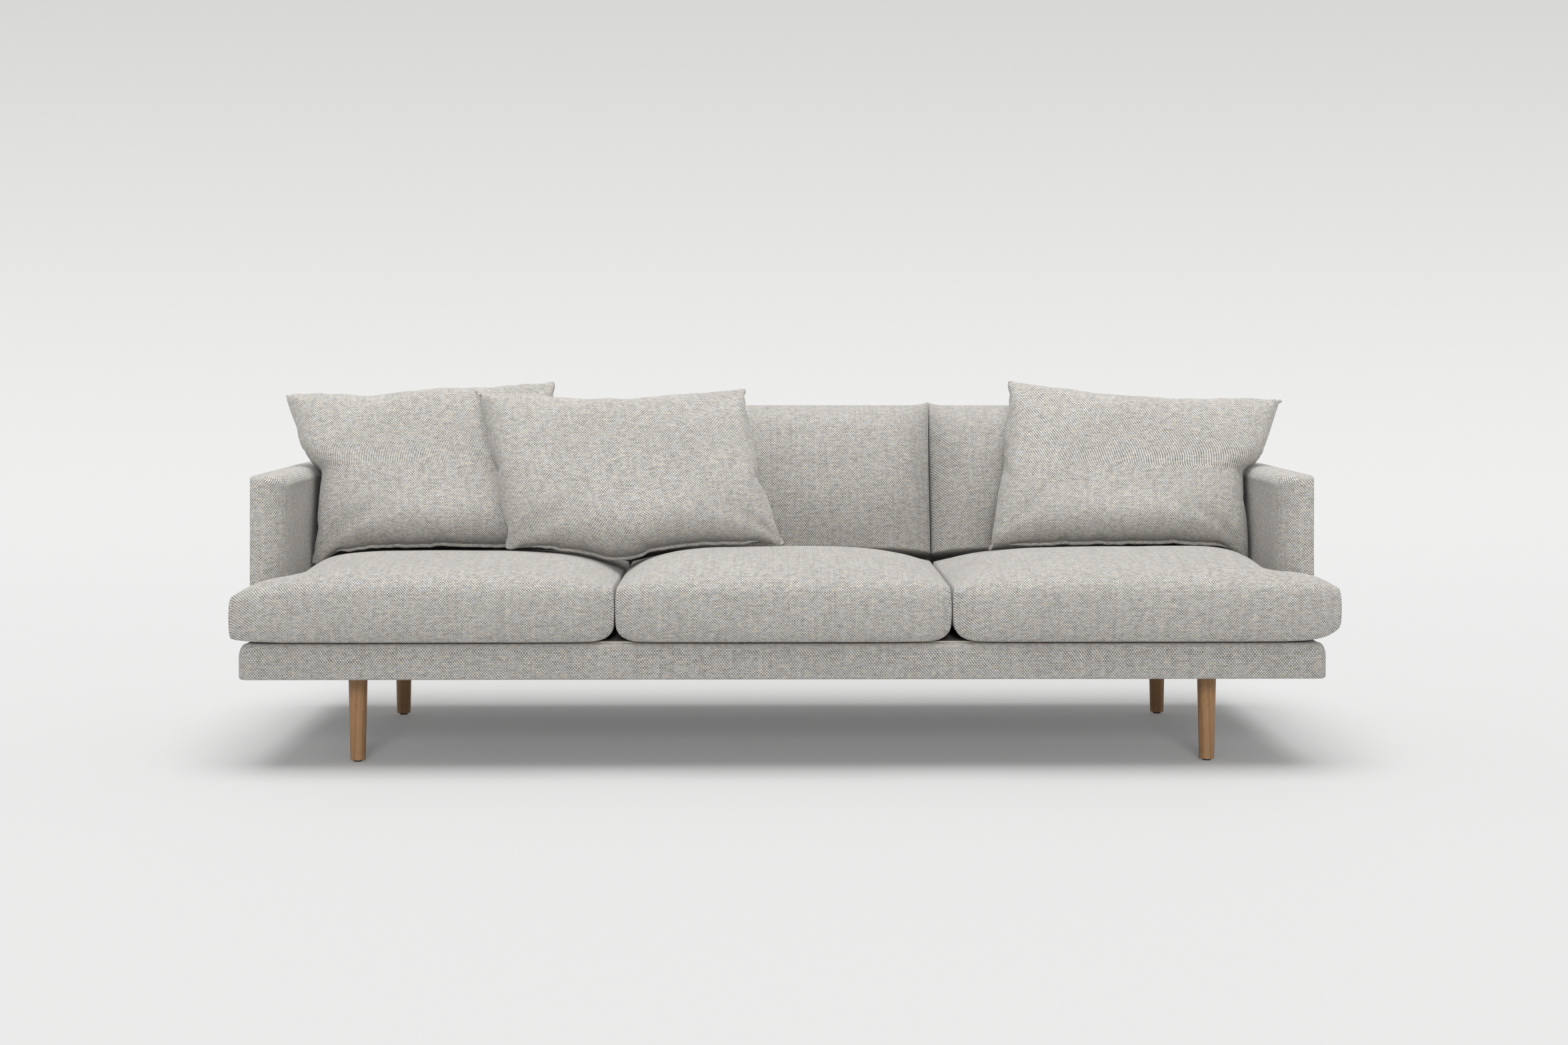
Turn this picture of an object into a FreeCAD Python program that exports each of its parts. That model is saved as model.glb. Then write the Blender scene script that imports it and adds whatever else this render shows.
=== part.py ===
"""Three-seat sofa on turned wooden legs, as a parametric document.

+X runs to the right of someone facing the sofa, +Y to its back and +Z up.  The
origin is on the floor, under the middle of the whole sofa.  Lengths are in mm.
"""
import FreeCAD, Part
import os
import Sketcher
from FreeCAD import Vector

doc = FreeCAD.newDocument("Sofa")
sheet = doc.addObject("Spreadsheet::Sheet", "Sizes")

# ---------------------------------------------------------------- sizes ----
SIZES = {
    # overall
    "sofa_width": 2520,           # over the ears of the outer seat cushions
    "sofa_depth": 960,            # front of the seat cushions to the back cover
    "clearance": 0.5,             # between soft pieces that only rest together
    "cloth": 2,                   # upholstery cloth with its lining
    # upholstered base
    "base_width": 2470,
    "base_setback": 25,           # base front behind the cushion fronts
    "base_bottom": 207,
    "base_height": 81.5,
    "base_corner": 24,            # rounding of the base's corners and of its ends' tops
    "base_cloth": 3,
    "cloth_return": 20,           # cloth turned over and under the rails
    "rail_thickness": 28,
    "cross_thickness": 25,
    "cross_height": 50,
    # legs
    "leg_spread": 1970,           # centre to centre, left to right
    "leg_front_inset": 155,       # leg axis behind the cushion fronts
    "leg_rear_inset": 163,        # leg axis ahead of the back cover
    "leg_top_diameter": 44,
    "leg_foot_diameter": 35,
    "leg_board_width": 90,
    "leg_board_thickness": 24,
    "leg_plate_side": 66,
    "glide_diameter": 20,
    "glide_height": 4.5,
    "glide_pin_diameter": 5,
    "glide_pin_length": 16,
    "bolt_diameter": 8,
    "bolt_clearance": 0.1,
    "bolt_low": 20.4,             # frame bolts above the rails' undersides
    "bolt_high": 48,
    "hanger_depth": 36,           # hanger bolt inside the leg
    "insert_diameter": 10.6,
    "insert_flange": 22,
    "insert_flange_thickness": 1.6,
    # seat deck
    "web_thickness": 1.5,
    "web_width": 60,
    "deck_pad_thickness": 2.5,
    "deck_cloth_thickness": 1,
    # arms
    "arm_outer_width": 2464,
    "arm_thickness": 82,
    "arm_setback": 130,           # arm front behind the cushion fronts
    "arm_top": 664,
    "arm_front_round": 34,
    "arm_top_round": 26,
    "post_thickness": 28,
    "post_width": 50,
    "top_rail_height": 40,
    "top_padding": 26,            # padding over the top rails
    # back
    "back_top_depth": 88,         # thickness of the back at its top
    "back_round": 24,
    "lean": 17,                   # slope of the inner back, degrees
    "back_post_thickness": 30,
    "back_web_width": 40,
    "back_web_pitch": 60,
    # seat cushions
    "seat_module": 766,           # pitch of the seat and back cushions
    "seat_front_height": 113,     # upright part of the cushion's front
    "seat_nose": 35,              # height of the rounded nose above it
    "seat_crown": 193.5,          # highest point above the deck
    "seat_crown_setback": 280,
    "seat_rest_drop": 14,         # crown down to the lifted scatter's edge
    "seat_swell": 140,            # crown to the places where its slope changes
    "seat_front_drop": 11,        # crown down to the foremost of them
    "seat_toe": 18,               # rounding under the cushion's front
    "seat_toe_height": 26,
    "seat_brow": 25,              # rounding over the cushion's front
    # back cushions
    "back_cushion_height": 400,
    "back_cushion_front": 148,    # middle seam to the front belly
    "back_cushion_rear": 107,     # middle seam to the inner back
    "belly_low": 120,
    "belly_high": 220,
    "back_cushion_foot": 132.5,   # bottom of the middle seam above the deck
    "foot_share": 0.72,           # depth of the front at the foot, against the belly's
    "head_share": 0.42,           # and near its top
    "heel_share": 0.86,           # depth of the rear at the foot, against its fullest
    "head_drop": 18,              # top seam down to the cushion's shoulders
    "heel_height": 22,
    "nape_rise": 40,              # fullest rear part above the high belly
    # scatter cushions
    "scatter_lean": 24,
    "scatter_height": 420,
    "scatter_half": 85,           # middle seam to the crown
    "scatter_taper": 0.42,        # crown's outline against the seam's
    "scatter_inner": 652,         # foot of the seam from the arm inwards
    "scatter_ear": 97,            # upper corner beyond the arm's inner face
    "scatter_head_shift": 74,     # inner upper corner towards the arm
    "scatter_waist": 240,         # height at which the seam clears the arm
    "scatter_inset": 8,           # seam to the filling inside
    "scatter_skin": 3,
    "middle_scatter_width": 664,
    "middle_scatter_overlap": 162,  # its left end in front of the left scatter
    "middle_scatter_shear": 95,   # upper corners further left
    "middle_scatter_trim": 12,    # how much shorter its top edge is
    "middle_scatter_yaw": 4,
    "middle_scatter_forward": 100,
    "middle_scatter_rise": 9,
    # zips
    "zip_length": 560,
    "zip_height": 7,
    "seat_zip_rise": 38,
    "scatter_zip_length": 420,
}
for row, (name, value) in enumerate(SIZES.items(), 1):
    sheet.set(f"A{row}", name)
    sheet.set(f"B{row}", str(value))
    sheet.setAlias(f"B{row}", name)
doc.recompute()

# Places that several pieces share, as expressions on the sheet.
S = "Sizes."


def named(text):
    """An expression whose size names are looked up on the sheet."""
    words = sorted(SIZES, key=len, reverse=True)
    out = ""
    at = 0
    while at < len(text):
        hit = next((w for w in words if text.startswith(w, at)
                    and (at == 0 or not (text[at - 1].isalnum() or text[at - 1] in "_."))
                    and not (text[at + len(w):at + len(w) + 1].isalnum()
                             or text[at + len(w):at + len(w) + 1] == "_")), None)
        out += S + hit if hit else text[at]
        at += len(hit) if hit else 1
    return out


FRONT = "(-sofa_depth/2)"
REAR = "(sofa_depth/2)"
BASE_FRONT = f"({FRONT}+base_setback)"
BASE_TOP = "(base_bottom+base_height)"
RAIL_LOW = "(base_bottom+base_cloth)"
RAIL_HIGH = f"({BASE_TOP}-base_cloth)"
RAIL_END = "(base_width/2-base_cloth)"
RAIL_INNER = f"({RAIL_END}-rail_thickness)"
RAIL_FRONT = f"({BASE_FRONT}+base_cloth)"
RAIL_REAR = f"({REAR}-base_cloth)"
DECK_WEB = RAIL_HIGH
DECK_PAD = f"({DECK_WEB}+2*web_thickness)"
DECK_CLOTH = f"({DECK_PAD}+deck_pad_thickness)"
DECK_TOP = f"({DECK_CLOTH}+deck_cloth_thickness)"
SEAT_LOW = f"({DECK_TOP}+clearance)"
ARM_OUTER = "(arm_outer_width/2)"
ARM_INNER = f"({ARM_OUTER}-arm_thickness)"
ARM_FRONT = f"({FRONT}+arm_setback)"
ARM_HIGH = "arm_top"
POST_TOP = "(arm_top-top_padding-top_rail_height)"
BACK_EDGE = f"({REAR}-back_top_depth)"
SLOPE = "tan(lean*1deg)"
COS_LEAN = "cos(lean*1deg)"
SIN_LEAN = "sin(lean*1deg)"


def back_face(height):
    """Y of the sloped inner back at a height."""
    return f"({BACK_EDGE}-(arm_top-{height})*{SLOPE})"


# ------------------------------------------------------------- helpers ----
def value_of(expression):
    result = sheet.evalExpression(named(expression))
    return float(getattr(result, "Value", result))


def bind(obj, prop, expression):
    obj.setExpression(prop, named(expression))


def place(obj, x="0", y="0", z="0", yaw="0", roll="0"):
    obj.setExpression("Placement", named(
        f"placement(vector(1mm*({x});1mm*({y});1mm*({z}));rotation({yaw};0;{roll}))"))
    return obj


def box(name, low, high):
    """Box between two corners given as expressions."""
    obj = doc.addObject("Part::Box", name)
    for prop, axis in (("Length", 0), ("Width", 1), ("Height", 2)):
        bind(obj, prop, f"({high[axis]})-({low[axis]})")
    for axis, letter in enumerate("xyz"):
        bind(obj, f"Placement.Base.{letter}", low[axis])
    return obj


def cylinder(name, radius, length, x="0", y="0", z="0", roll="0", pitch="0"):
    obj = doc.addObject("Part::Cylinder", name)
    bind(obj, "Radius", radius)
    bind(obj, "Height", length)
    obj.setExpression("Placement", named(
        f"placement(vector(1mm*({x});1mm*({y});1mm*({z}));rotation(0;{pitch};{roll}))"))
    return obj


def cut(name, base, *tools):
    """Base less each tool in turn."""
    for number, tool in enumerate(tools, 1):
        obj = doc.addObject("Part::Cut", name if number == len(tools) else f"{name}_{number}")
        obj.Base = base
        obj.Tool = tool
        base = obj
    return base


def common(name, base, tool):
    obj = doc.addObject("Part::Common", name)
    obj.Base = base
    obj.Tool = tool
    return obj


def group(name, links):
    obj = doc.addObject("Part::Compound", name)
    obj.Links = links
    return obj


def origin_plane(body, role):
    return next(item for item in body.Origin.OriginFeatures if item.Role == role)


def polygon(body, role, points, offset="0"):
    """Closed outline on one of the body's planes, each corner bound to the sheet."""
    sketch = body.newObject("Sketcher::SketchObject", f"{body.Name}_outline")
    sketch.AttachmentSupport = (origin_plane(body, role), [""])
    sketch.MapMode = "FlatFace"
    corners = [Vector(value_of(a), value_of(b), 0) for a, b in points]
    count = len(corners)
    for i in range(count):
        sketch.addGeometry(Part.LineSegment(corners[i], corners[(i + 1) % count]), False)
    for i in range(count):
        sketch.addConstraint(Sketcher.Constraint("Coincident", i, 2, (i + 1) % count, 1))
    for i, point in enumerate(points):
        for kind, text, start in zip(("DistanceX", "DistanceY"), point, corners[i]):
            number = sketch.addConstraint(Sketcher.Constraint(kind, -1, 1, i, 1, start))
            sketch.setExpression(f"Constraints[{number}]", named(text))
    sketch.setExpression("AttachmentOffset.Base.z", named(offset))
    return sketch


def prism(name, role, points, start, length):
    """Body padded from an outline."""
    body = doc.addObject("PartDesign::Body", name)
    sketch = polygon(body, role, points, start)
    pad = body.newObject("PartDesign::Pad", f"{name}_pad")
    pad.Profile = sketch
    bind(pad, "Length", length)
    doc.recompute()
    return body


def round_edges(body, radius, wanted):
    """Round the body's edges whose two ends satisfy the test."""
    tip = body.Tip
    names = [f"Edge{i}" for i, edge in enumerate(tip.Shape.Edges, 1)
             if wanted([vertex.Point for vertex in edge.Vertexes])]
    fillet = body.newObject("PartDesign::Fillet", f"{body.Name}_round")
    fillet.Base = (tip, names)
    bind(fillet, "Radius", radius)
    doc.recompute()
    return body


# -------------------------------------------------------------- legs ----
LEG_TOP = "base_bottom"
LEG_SPOTS = {
    "front_left": ("-leg_spread/2", f"({FRONT}+leg_front_inset)"),
    "front_right": ("leg_spread/2", f"({FRONT}+leg_front_inset)"),
    "rear_left": ("-leg_spread/2", f"({REAR}-leg_rear_inset)"),
    "rear_right": ("leg_spread/2", f"({REAR}-leg_rear_inset)"),
}


def turned_leg(name, x, y):
    """Tapered leg with a socket at each end for its bolt and its glide pin."""
    body = doc.addObject("PartDesign::Body", name)
    bolt = "(bolt_diameter/2+bolt_clearance)"
    pin = "(glide_pin_diameter/2+bolt_clearance)"
    socket = f"({LEG_TOP}-hanger_depth)"
    pin_end = "(glide_height+glide_pin_length)"
    sketch = polygon(body, "XZ_Plane", [
        (pin, "glide_height"), ("leg_foot_diameter/2", "glide_height"),
        ("leg_top_diameter/2", LEG_TOP), (bolt, LEG_TOP), (bolt, socket),
        ("0", socket), ("0", pin_end), (pin, pin_end)])
    turn = body.newObject("PartDesign::Revolution", f"{name}_turn")
    turn.Profile = sketch
    turn.ReferenceAxis = (sketch, ["V_Axis"])
    turn.Angle = 360
    return place(body, x, y)


def glide(name, x, y):
    """Nail-on glide: disc and pin in one turned outline."""
    body = doc.addObject("PartDesign::Body", name)
    sketch = polygon(body, "XZ_Plane", [
        ("0", "0"), ("glide_diameter/2", "0"), ("glide_diameter/2", "glide_height"),
        ("glide_pin_diameter/2", "glide_height"),
        ("glide_pin_diameter/2", "glide_height+glide_pin_length-clearance"),
        ("0", "glide_height+glide_pin_length-clearance")])
    turn = body.newObject("PartDesign::Revolution", f"{name}_turn")
    turn.Profile = sketch
    turn.ReferenceAxis = (sketch, ["V_Axis"])
    turn.Angle = 360
    return place(body, x, y)


BOARD_TOP = f"({RAIL_LOW}+leg_board_thickness)"
legs = [turned_leg(f"{spot}_leg", x, y) for spot, (x, y) in LEG_SPOTS.items()]
glides = group("leg_glides", [glide(f"glide_{spot}", x, y)
                              for spot, (x, y) in LEG_SPOTS.items()])
hanger_bolts = group("hanger_bolts", [
    cylinder(f"hanger_{spot}", "bolt_diameter/2", f"hanger_depth-clearance+{BOARD_TOP}-{LEG_TOP}",
             x, y, f"{LEG_TOP}-hanger_depth+clearance")
    for spot, (x, y) in LEG_SPOTS.items()])


def leg_insert(spot, x, y):
    """Flanged threaded sleeve let into the leg board from above."""
    sleeve = cylinder(f"sleeve_{spot}", "insert_diameter/2", "leg_board_thickness",
                      x, y, RAIL_LOW)
    flange = cylinder(f"flange_{spot}", "insert_flange/2", "insert_flange_thickness",
                      x, y, BOARD_TOP)
    whole = doc.addObject("Part::Fuse", f"insert_blank_{spot}")
    whole.Base = sleeve
    whole.Tool = flange
    bore = cylinder(f"insert_bore_{spot}", "bolt_diameter/2+bolt_clearance",
                    "leg_board_thickness+insert_flange_thickness", x, y, RAIL_LOW)
    return cut(f"insert_{spot}", whole, bore)


leg_inserts = group("leg_inserts", [leg_insert(spot, x, y)
                                    for spot, (x, y) in LEG_SPOTS.items()])


def leg_plate(spot, x, y):
    half = "leg_plate_side/2"
    blank = box(f"plate_blank_{spot}", (f"{x}-{half}", f"{y}-{half}", LEG_TOP),
                (f"{x}+{half}", f"{y}+{half}", RAIL_LOW))
    hole = cylinder(f"plate_hole_{spot}", "bolt_diameter/2+bolt_clearance", "base_cloth",
                    x, y, LEG_TOP)
    return cut(f"plate_{spot}", blank, hole)


leg_plates = group("leg_plates", [leg_plate(spot, x, y)
                                  for spot, (x, y) in LEG_SPOTS.items()])

# ------------------------------------------------------- base timbers ----
BASE_END = "(base_width/2)"


def base_block(name, inset):
    """Block of the base with rounded corners, inset on every side."""
    block = prism(name, "XY_Plane", [
        (f"-{BASE_END}+{inset}", f"{BASE_FRONT}+{inset}"),
        (f"{BASE_END}-{inset}", f"{BASE_FRONT}+{inset}"),
        (f"{BASE_END}-{inset}", f"{REAR}-{inset}"),
        (f"-{BASE_END}+{inset}", f"{REAR}-{inset}")],
        f"base_bottom+{inset}", f"base_height-2*{inset}")
    shoulder = value_of(BASE_TOP) - value_of("base_corner")

    def rounded(ends):
        upright = abs(ends[0].z - ends[1].z) > value_of("base_height") / 2
        across_end = (min(p.z for p in ends) > shoulder
                      and abs(ends[0].x - ends[1].x) < value_of("base_corner"))
        return upright or across_end

    return round_edges(block, f"base_corner-{inset}", rounded)


base_space = base_block("base_space", "base_cloth")
front_rail = box("front_rail", (f"-{RAIL_INNER}", RAIL_FRONT, RAIL_LOW),
                 (RAIL_INNER, f"{RAIL_FRONT}+rail_thickness", RAIL_HIGH))
rear_rail = box("rear_rail", (f"-{RAIL_INNER}", f"{RAIL_REAR}-rail_thickness", RAIL_LOW),
                (RAIL_INNER, RAIL_REAR, RAIL_HIGH))
POST_OUTER = RAIL_INNER
POST_INNER = f"({RAIL_INNER}-post_thickness)"
FRONT_POST = f"({ARM_FRONT}+arm_front_round)"
REAR_POST = f"({REAR}-base_cloth-rail_thickness-post_width)"
BOLT_HEIGHTS = (f"({RAIL_LOW}+bolt_low)", f"({RAIL_LOW}+bolt_high)")


def post_bolts(side, tag, radius, start, length):
    """Cylinders through an end rail and its two arm posts."""
    made = []
    for number, depth in enumerate((FRONT_POST, REAR_POST)):
        for level, height in enumerate(BOLT_HEIGHTS):
            x = f"-({start})-({length})" if side < 0 else start
            made.append(cylinder(f"{tag}_{number}{level}", radius, length, x,
                                 f"{depth}+post_width/2", height, pitch="90"))
    return made


BOLT_END = f"({POST_INNER}-6)"
BOLT_SPAN = f"({RAIL_END}-{BOLT_END})"


def end_rail(side, name):
    low, high = (f"-{RAIL_END}", f"-{RAIL_INNER}") if side < 0 else (RAIL_INNER, RAIL_END)
    blank = box(f"{name}_blank", (low, RAIL_FRONT, RAIL_LOW), (high, RAIL_REAR, RAIL_HIGH))
    holes = group(f"{name}_holes", post_bolts(
        side, f"{name}_hole", "bolt_diameter/2+bolt_clearance", BOLT_END, BOLT_SPAN))
    return cut(name, common(f"{name}_rounded", blank, base_space), holes)


left_end_rail = end_rail(-1, "left_end_rail")
right_end_rail = end_rail(1, "right_end_rail")
frame_bolts = group("frame_bolts",
                    post_bolts(-1, "left_bolt", "bolt_diameter/2", BOLT_END, BOLT_SPAN)
                    + post_bolts(1, "right_bolt", "bolt_diameter/2", BOLT_END, BOLT_SPAN))
RAIL_BACK_OF_FRONT = f"({RAIL_FRONT}+rail_thickness)"
RAIL_FRONT_OF_REAR = f"({RAIL_REAR}-rail_thickness)"
cross_rails = group("cross_rails", [
    box(f"cross_{i}", (f"{x}-cross_thickness/2", RAIL_BACK_OF_FRONT,
                       f"{RAIL_HIGH}-cross_height"),
        (f"{x}+cross_thickness/2", RAIL_FRONT_OF_REAR, RAIL_HIGH))
    for i, x in enumerate(("-seat_module/2", "seat_module/2"))])


def leg_board(name, x):
    half = "leg_board_width/2"
    blank = box(f"{name}_blank", (f"{x}-{half}", RAIL_BACK_OF_FRONT, RAIL_LOW),
                (f"{x}+{half}", RAIL_FRONT_OF_REAR, BOARD_TOP))
    holes = group(f"{name}_holes", [
        cylinder(f"{name}_hole_{i}", "insert_diameter/2", "leg_board_thickness", x, y, RAIL_LOW)
        for i, y in enumerate((LEG_SPOTS["front_left"][1], LEG_SPOTS["rear_left"][1]))])
    return cut(name, blank, holes)


leg_boards = group("leg_boards", [leg_board("board_left", "-leg_spread/2"),
                                  leg_board("board_right", "leg_spread/2")])

# ------------------------------------------------------- base covers ----
base_outer = base_block("base_outer", "0")
base_opening = box("base_opening",
                   (f"-{BASE_END}+cloth_return", f"{BASE_FRONT}+cloth_return", "base_bottom"),
                   (f"{BASE_END}-cloth_return", f"{REAR}-cloth_return", BASE_TOP))
base_cover = cut("base_cover", base_outer, base_space, base_opening)
dust_blank = box("dust_blank",
                 (f"-{BASE_END}+cloth_return", f"{BASE_FRONT}+cloth_return", f"{RAIL_LOW}-1"),
                 (f"{BASE_END}-cloth_return", f"{REAR}-cloth_return", RAIL_LOW))
dust_windows = group("dust_windows", [
    box(f"dust_window_{spot}",
        (f"{x}-leg_plate_side/2", f"{y}-leg_plate_side/2", f"{RAIL_LOW}-1"),
        (f"{x}+leg_plate_side/2", f"{y}+leg_plate_side/2", RAIL_LOW))
    for spot, (x, y) in LEG_SPOTS.items()])
dust_cover = cut("dust_cover", dust_blank, dust_windows)

# --------------------------------------------------------- seat deck ----
DECK_FRONT = f"({BASE_FRONT}+cloth_return)"
WEB_SIDE = f"({BASE_END}-cloth_return)"
WEB_REAR = f"({REAR}-cloth_return)"
MIDDLE_DEEP_WEBS = 4          # strips front to back, between the middle posts
END_DEEP_WEBS = 4             # and between a middle post and an end post
WIDE_WEBS = 4                 # strips from side to side


def spaced(count, low, high):
    """Centres of equal strips between two places."""
    return [f"({low}+({high}-({low}))*{(i + 0.5) / count})" for i in range(count)]


DECK_BACK = back_face(BASE_TOP)
END_POST = f"({ARM_INNER}-post_width/2)"
MID_POST = "(seat_module/2-cross_thickness/2-post_width/2)"
end_places = spaced(END_DEEP_WEBS, f"{MID_POST}+post_width/2", f"{END_POST}-post_width/2")
deep_places = (spaced(MIDDLE_DEEP_WEBS, f"-{MID_POST}+post_width/2", f"{MID_POST}-post_width/2")
               + end_places + [f"-{x}" for x in end_places])
seat_webbing = group("seat_webbing", [
    box(f"deep_web_{i}", (f"{x}-web_width/2", DECK_FRONT, DECK_WEB),
        (f"{x}+web_width/2", WEB_REAR, f"{DECK_WEB}+web_thickness"))
    for i, x in enumerate(deep_places)] + [
    box(f"wide_web_{i}", (f"-{WEB_SIDE}", f"{y}-web_width/2", f"{DECK_WEB}+web_thickness"),
        (WEB_SIDE, f"{y}+web_width/2", f"{DECK_WEB}+2*web_thickness"))
    for i, y in enumerate(spaced(WIDE_WEBS, f"{FRONT_POST}+post_width", DECK_BACK))])
DECK_SIDE = f"({ARM_INNER}-clearance)"
deck_pad = box("deck_pad", (f"-{DECK_SIDE}", DECK_FRONT, DECK_PAD),
               (DECK_SIDE, f"{DECK_BACK}-clearance", DECK_CLOTH))
deck_cover = box("deck_cover", (f"-{DECK_SIDE}", f"{BASE_FRONT}+base_corner", DECK_CLOTH),
                 (DECK_SIDE, f"{DECK_BACK}-clearance", DECK_TOP))


# --------------------------------------------------------------- arms ----
def arm_block(name, side, inset, radius_less):
    """Padded arm outline, rounded at its front corners and along its top."""
    inner, outer = f"{ARM_INNER}+{inset}", f"{ARM_OUTER}-{inset}"
    low, high = (f"-({outer})", f"-({inner})") if side < 0 else (inner, outer)
    block = prism(name, "XY_Plane", [
        (low, f"{ARM_FRONT}+{inset}"), (high, f"{ARM_FRONT}+{inset}"),
        (high, f"{REAR}-{inset}"), (low, f"{REAR}-{inset}")],
        BASE_TOP, f"{ARM_HIGH}-{BASE_TOP}-{inset}")
    front = value_of(ARM_FRONT) + 20
    round_edges(block, f"arm_front_round-{radius_less}",
                lambda ends: max(p.y for p in ends) < front
                and abs(ends[0].z - ends[1].z) > 50)
    top = value_of(ARM_HIGH) - 10
    return round_edges(block, f"arm_top_round-{radius_less}",
                       lambda ends: min(p.z for p in ends) > top)


def arm(side, hand):
    """Posts, top rail, padding and cover of one arm."""
    low, high = (f"-{POST_OUTER}", f"-{POST_INNER}") if side < 0 else (POST_INNER, POST_OUTER)
    blanks = group(f"{hand}_post_blanks", [
        box(f"{hand}_post_{i}", (low, y, RAIL_LOW), (high, f"{y}+post_width", POST_TOP))
        for i, y in enumerate((FRONT_POST, REAR_POST))])
    holes = group(f"{hand}_post_holes", post_bolts(
        side, f"{hand}_post_hole", "bolt_diameter/2+bolt_clearance", BOLT_END, BOLT_SPAN))
    posts = cut(f"{hand}_arm_posts", blanks, holes)
    rail = box(f"{hand}_arm_rail", (low, FRONT_POST, POST_TOP),
               (high, f"{REAR_POST}+post_width", f"{POST_TOP}+top_rail_height"))
    stuffing = arm_block(f"{hand}_arm_stuffing", side, "cloth", "cloth")
    padding = cut(f"{hand}_arm_padding", stuffing, blanks, rail)
    cover = cut(f"{hand}_arm_cover", arm_block(f"{hand}_arm_outer", side, "0", "0"), stuffing)
    return [posts, rail, padding, cover]


left_arm = arm(-1, "left")
right_arm = arm(1, "right")

# --------------------------------------------------------------- back ----
BACK_POST_REAR = RAIL_FRONT_OF_REAR
BACK_POST_FRONT = f"({BACK_POST_REAR}-back_post_thickness)"
POST_PLACES = (f"-{END_POST}", f"-{MID_POST}", MID_POST, END_POST)
back_posts = group("back_posts", [
    box(f"back_post_{i}", (f"{x}-post_width/2", BACK_POST_FRONT, RAIL_LOW),
        (f"{x}+post_width/2", BACK_POST_REAR, POST_TOP))
    for i, x in enumerate(POST_PLACES)])
back_top_rail = box("back_top_rail",
                    (f"-{ARM_INNER}", BACK_POST_FRONT, POST_TOP),
                    (ARM_INNER, BACK_POST_REAR, f"{POST_TOP}+top_rail_height"))
BACK_WEBS = 4
back_webbing = group("back_webbing", [
    box(f"back_web_{i}",
        (f"-{ARM_INNER}", f"{BACK_POST_FRONT}-web_thickness",
         f"{BASE_TOP}+back_web_pitch*{i + 0.7}"),
        (ARM_INNER, BACK_POST_FRONT,
         f"{BASE_TOP}+back_web_pitch*{i + 0.7}+back_web_width"))
    for i in range(BACK_WEBS)])


def back_block(name, inset, ends):
    """Sloped back between the arms, rounded along its top."""
    top = f"(arm_top-{inset})"
    block = prism(name, "YZ_Plane", [
        (f"{REAR}-{inset}", BASE_TOP), (f"{REAR}-{inset}", top),
        (f"{back_face(top)}+{inset}/{COS_LEAN}", top),
        (f"{back_face(BASE_TOP)}+{inset}/{COS_LEAN}", BASE_TOP)],
        f"-{ends}", f"2*{ends}")
    height = value_of("arm_top") - 10
    return round_edges(block, f"back_round-{inset}",
                       lambda pair: min(p.z for p in pair) > height
                       and abs(pair[0].x - pair[1].x) > 100)


back_stuffing = back_block("back_stuffing", "cloth", ARM_INNER)
back_padding = cut("back_padding", back_stuffing, back_posts, back_top_rail, back_webbing)
back_cover = cut("back_cover", back_block("back_outer", "0", ARM_INNER), back_stuffing)


# ----------------------------------------------------------- cushions ----
def cushion(name, outer, filling, zip_block):
    """Cover, filling and zip of one loose cushion."""
    tape = cut(f"{name}_zip", common(f"{name}_zip_space", outer, zip_block), filling)
    cover = cut(f"{name}_cover", outer, filling, tape)
    filling.Label = f"{name}_filling"
    return [cover, filling, tape]


BACK_FOOT_Z = f"({DECK_TOP}+back_cushion_foot)"
BACK_FOOT_Y = f"({back_face(BACK_FOOT_Z)}-(back_cushion_rear+clearance)/{COS_LEAN})"
BELLY_FOOT = "(back_cushion_front*foot_share)"
# Seat surface under the back cushions, parallel to their undersides.
SEAT_REST = f"({BACK_FOOT_Y}-{BELLY_FOOT}*{COS_LEAN})"


def seat_under(y):
    """Height of the seat's sloped rear part at a depth."""
    return f"({BACK_FOOT_Z}-({y}-{BACK_FOOT_Y})*{SLOPE}-clearance/{COS_LEAN})"


SEAT_CROWN_Y = f"({FRONT}+seat_crown_setback)"
SEAT_CROWN_Z = f"({SEAT_LOW}+seat_crown)"
SEAT_BACK_Z = f"({DECK_TOP}+back_cushion_foot*foot_share)"
SEAT_PROFILE = [
    # y, z and which way the filling stands inside each corner
    (f"{FRONT}+seat_toe", SEAT_LOW, 1, 1),
    (FRONT, f"{SEAT_LOW}+seat_toe_height", 1, 0),
    (FRONT, f"{SEAT_LOW}+seat_front_height", 1, 0),
    (f"{FRONT}+seat_brow", f"{SEAT_LOW}+seat_front_height+seat_nose", 1, -1),
    (f"{SEAT_CROWN_Y}-seat_swell", f"{SEAT_CROWN_Z}-seat_front_drop", 0, -1),
    (SEAT_CROWN_Y, SEAT_CROWN_Z, 0, -1),
    (f"{SEAT_CROWN_Y}+seat_swell", f"{SEAT_CROWN_Z}-seat_rest_drop", 0, -1),
    (SEAT_REST, seat_under(SEAT_REST), 0, -1),
    (f"{back_face(SEAT_BACK_Z)}-clearance*2", seat_under(f"({back_face(SEAT_BACK_Z)}-clearance*2)"),
     -1, -1),
    (f"{back_face(SEAT_LOW)}-clearance*2", SEAT_LOW, -1, 1),
]


def seat_solid(name, low, high, inset):
    """Crowned seat profile between two places across the sofa."""
    points = [(f"{y}+{dy}*{inset}", f"{z}+{dz}*{inset}") for y, z, dy, dz in SEAT_PROFILE]
    return prism(name, "YZ_Plane", points, f"{low}+{inset}", f"{high}-({low})-2*{inset}")


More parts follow.
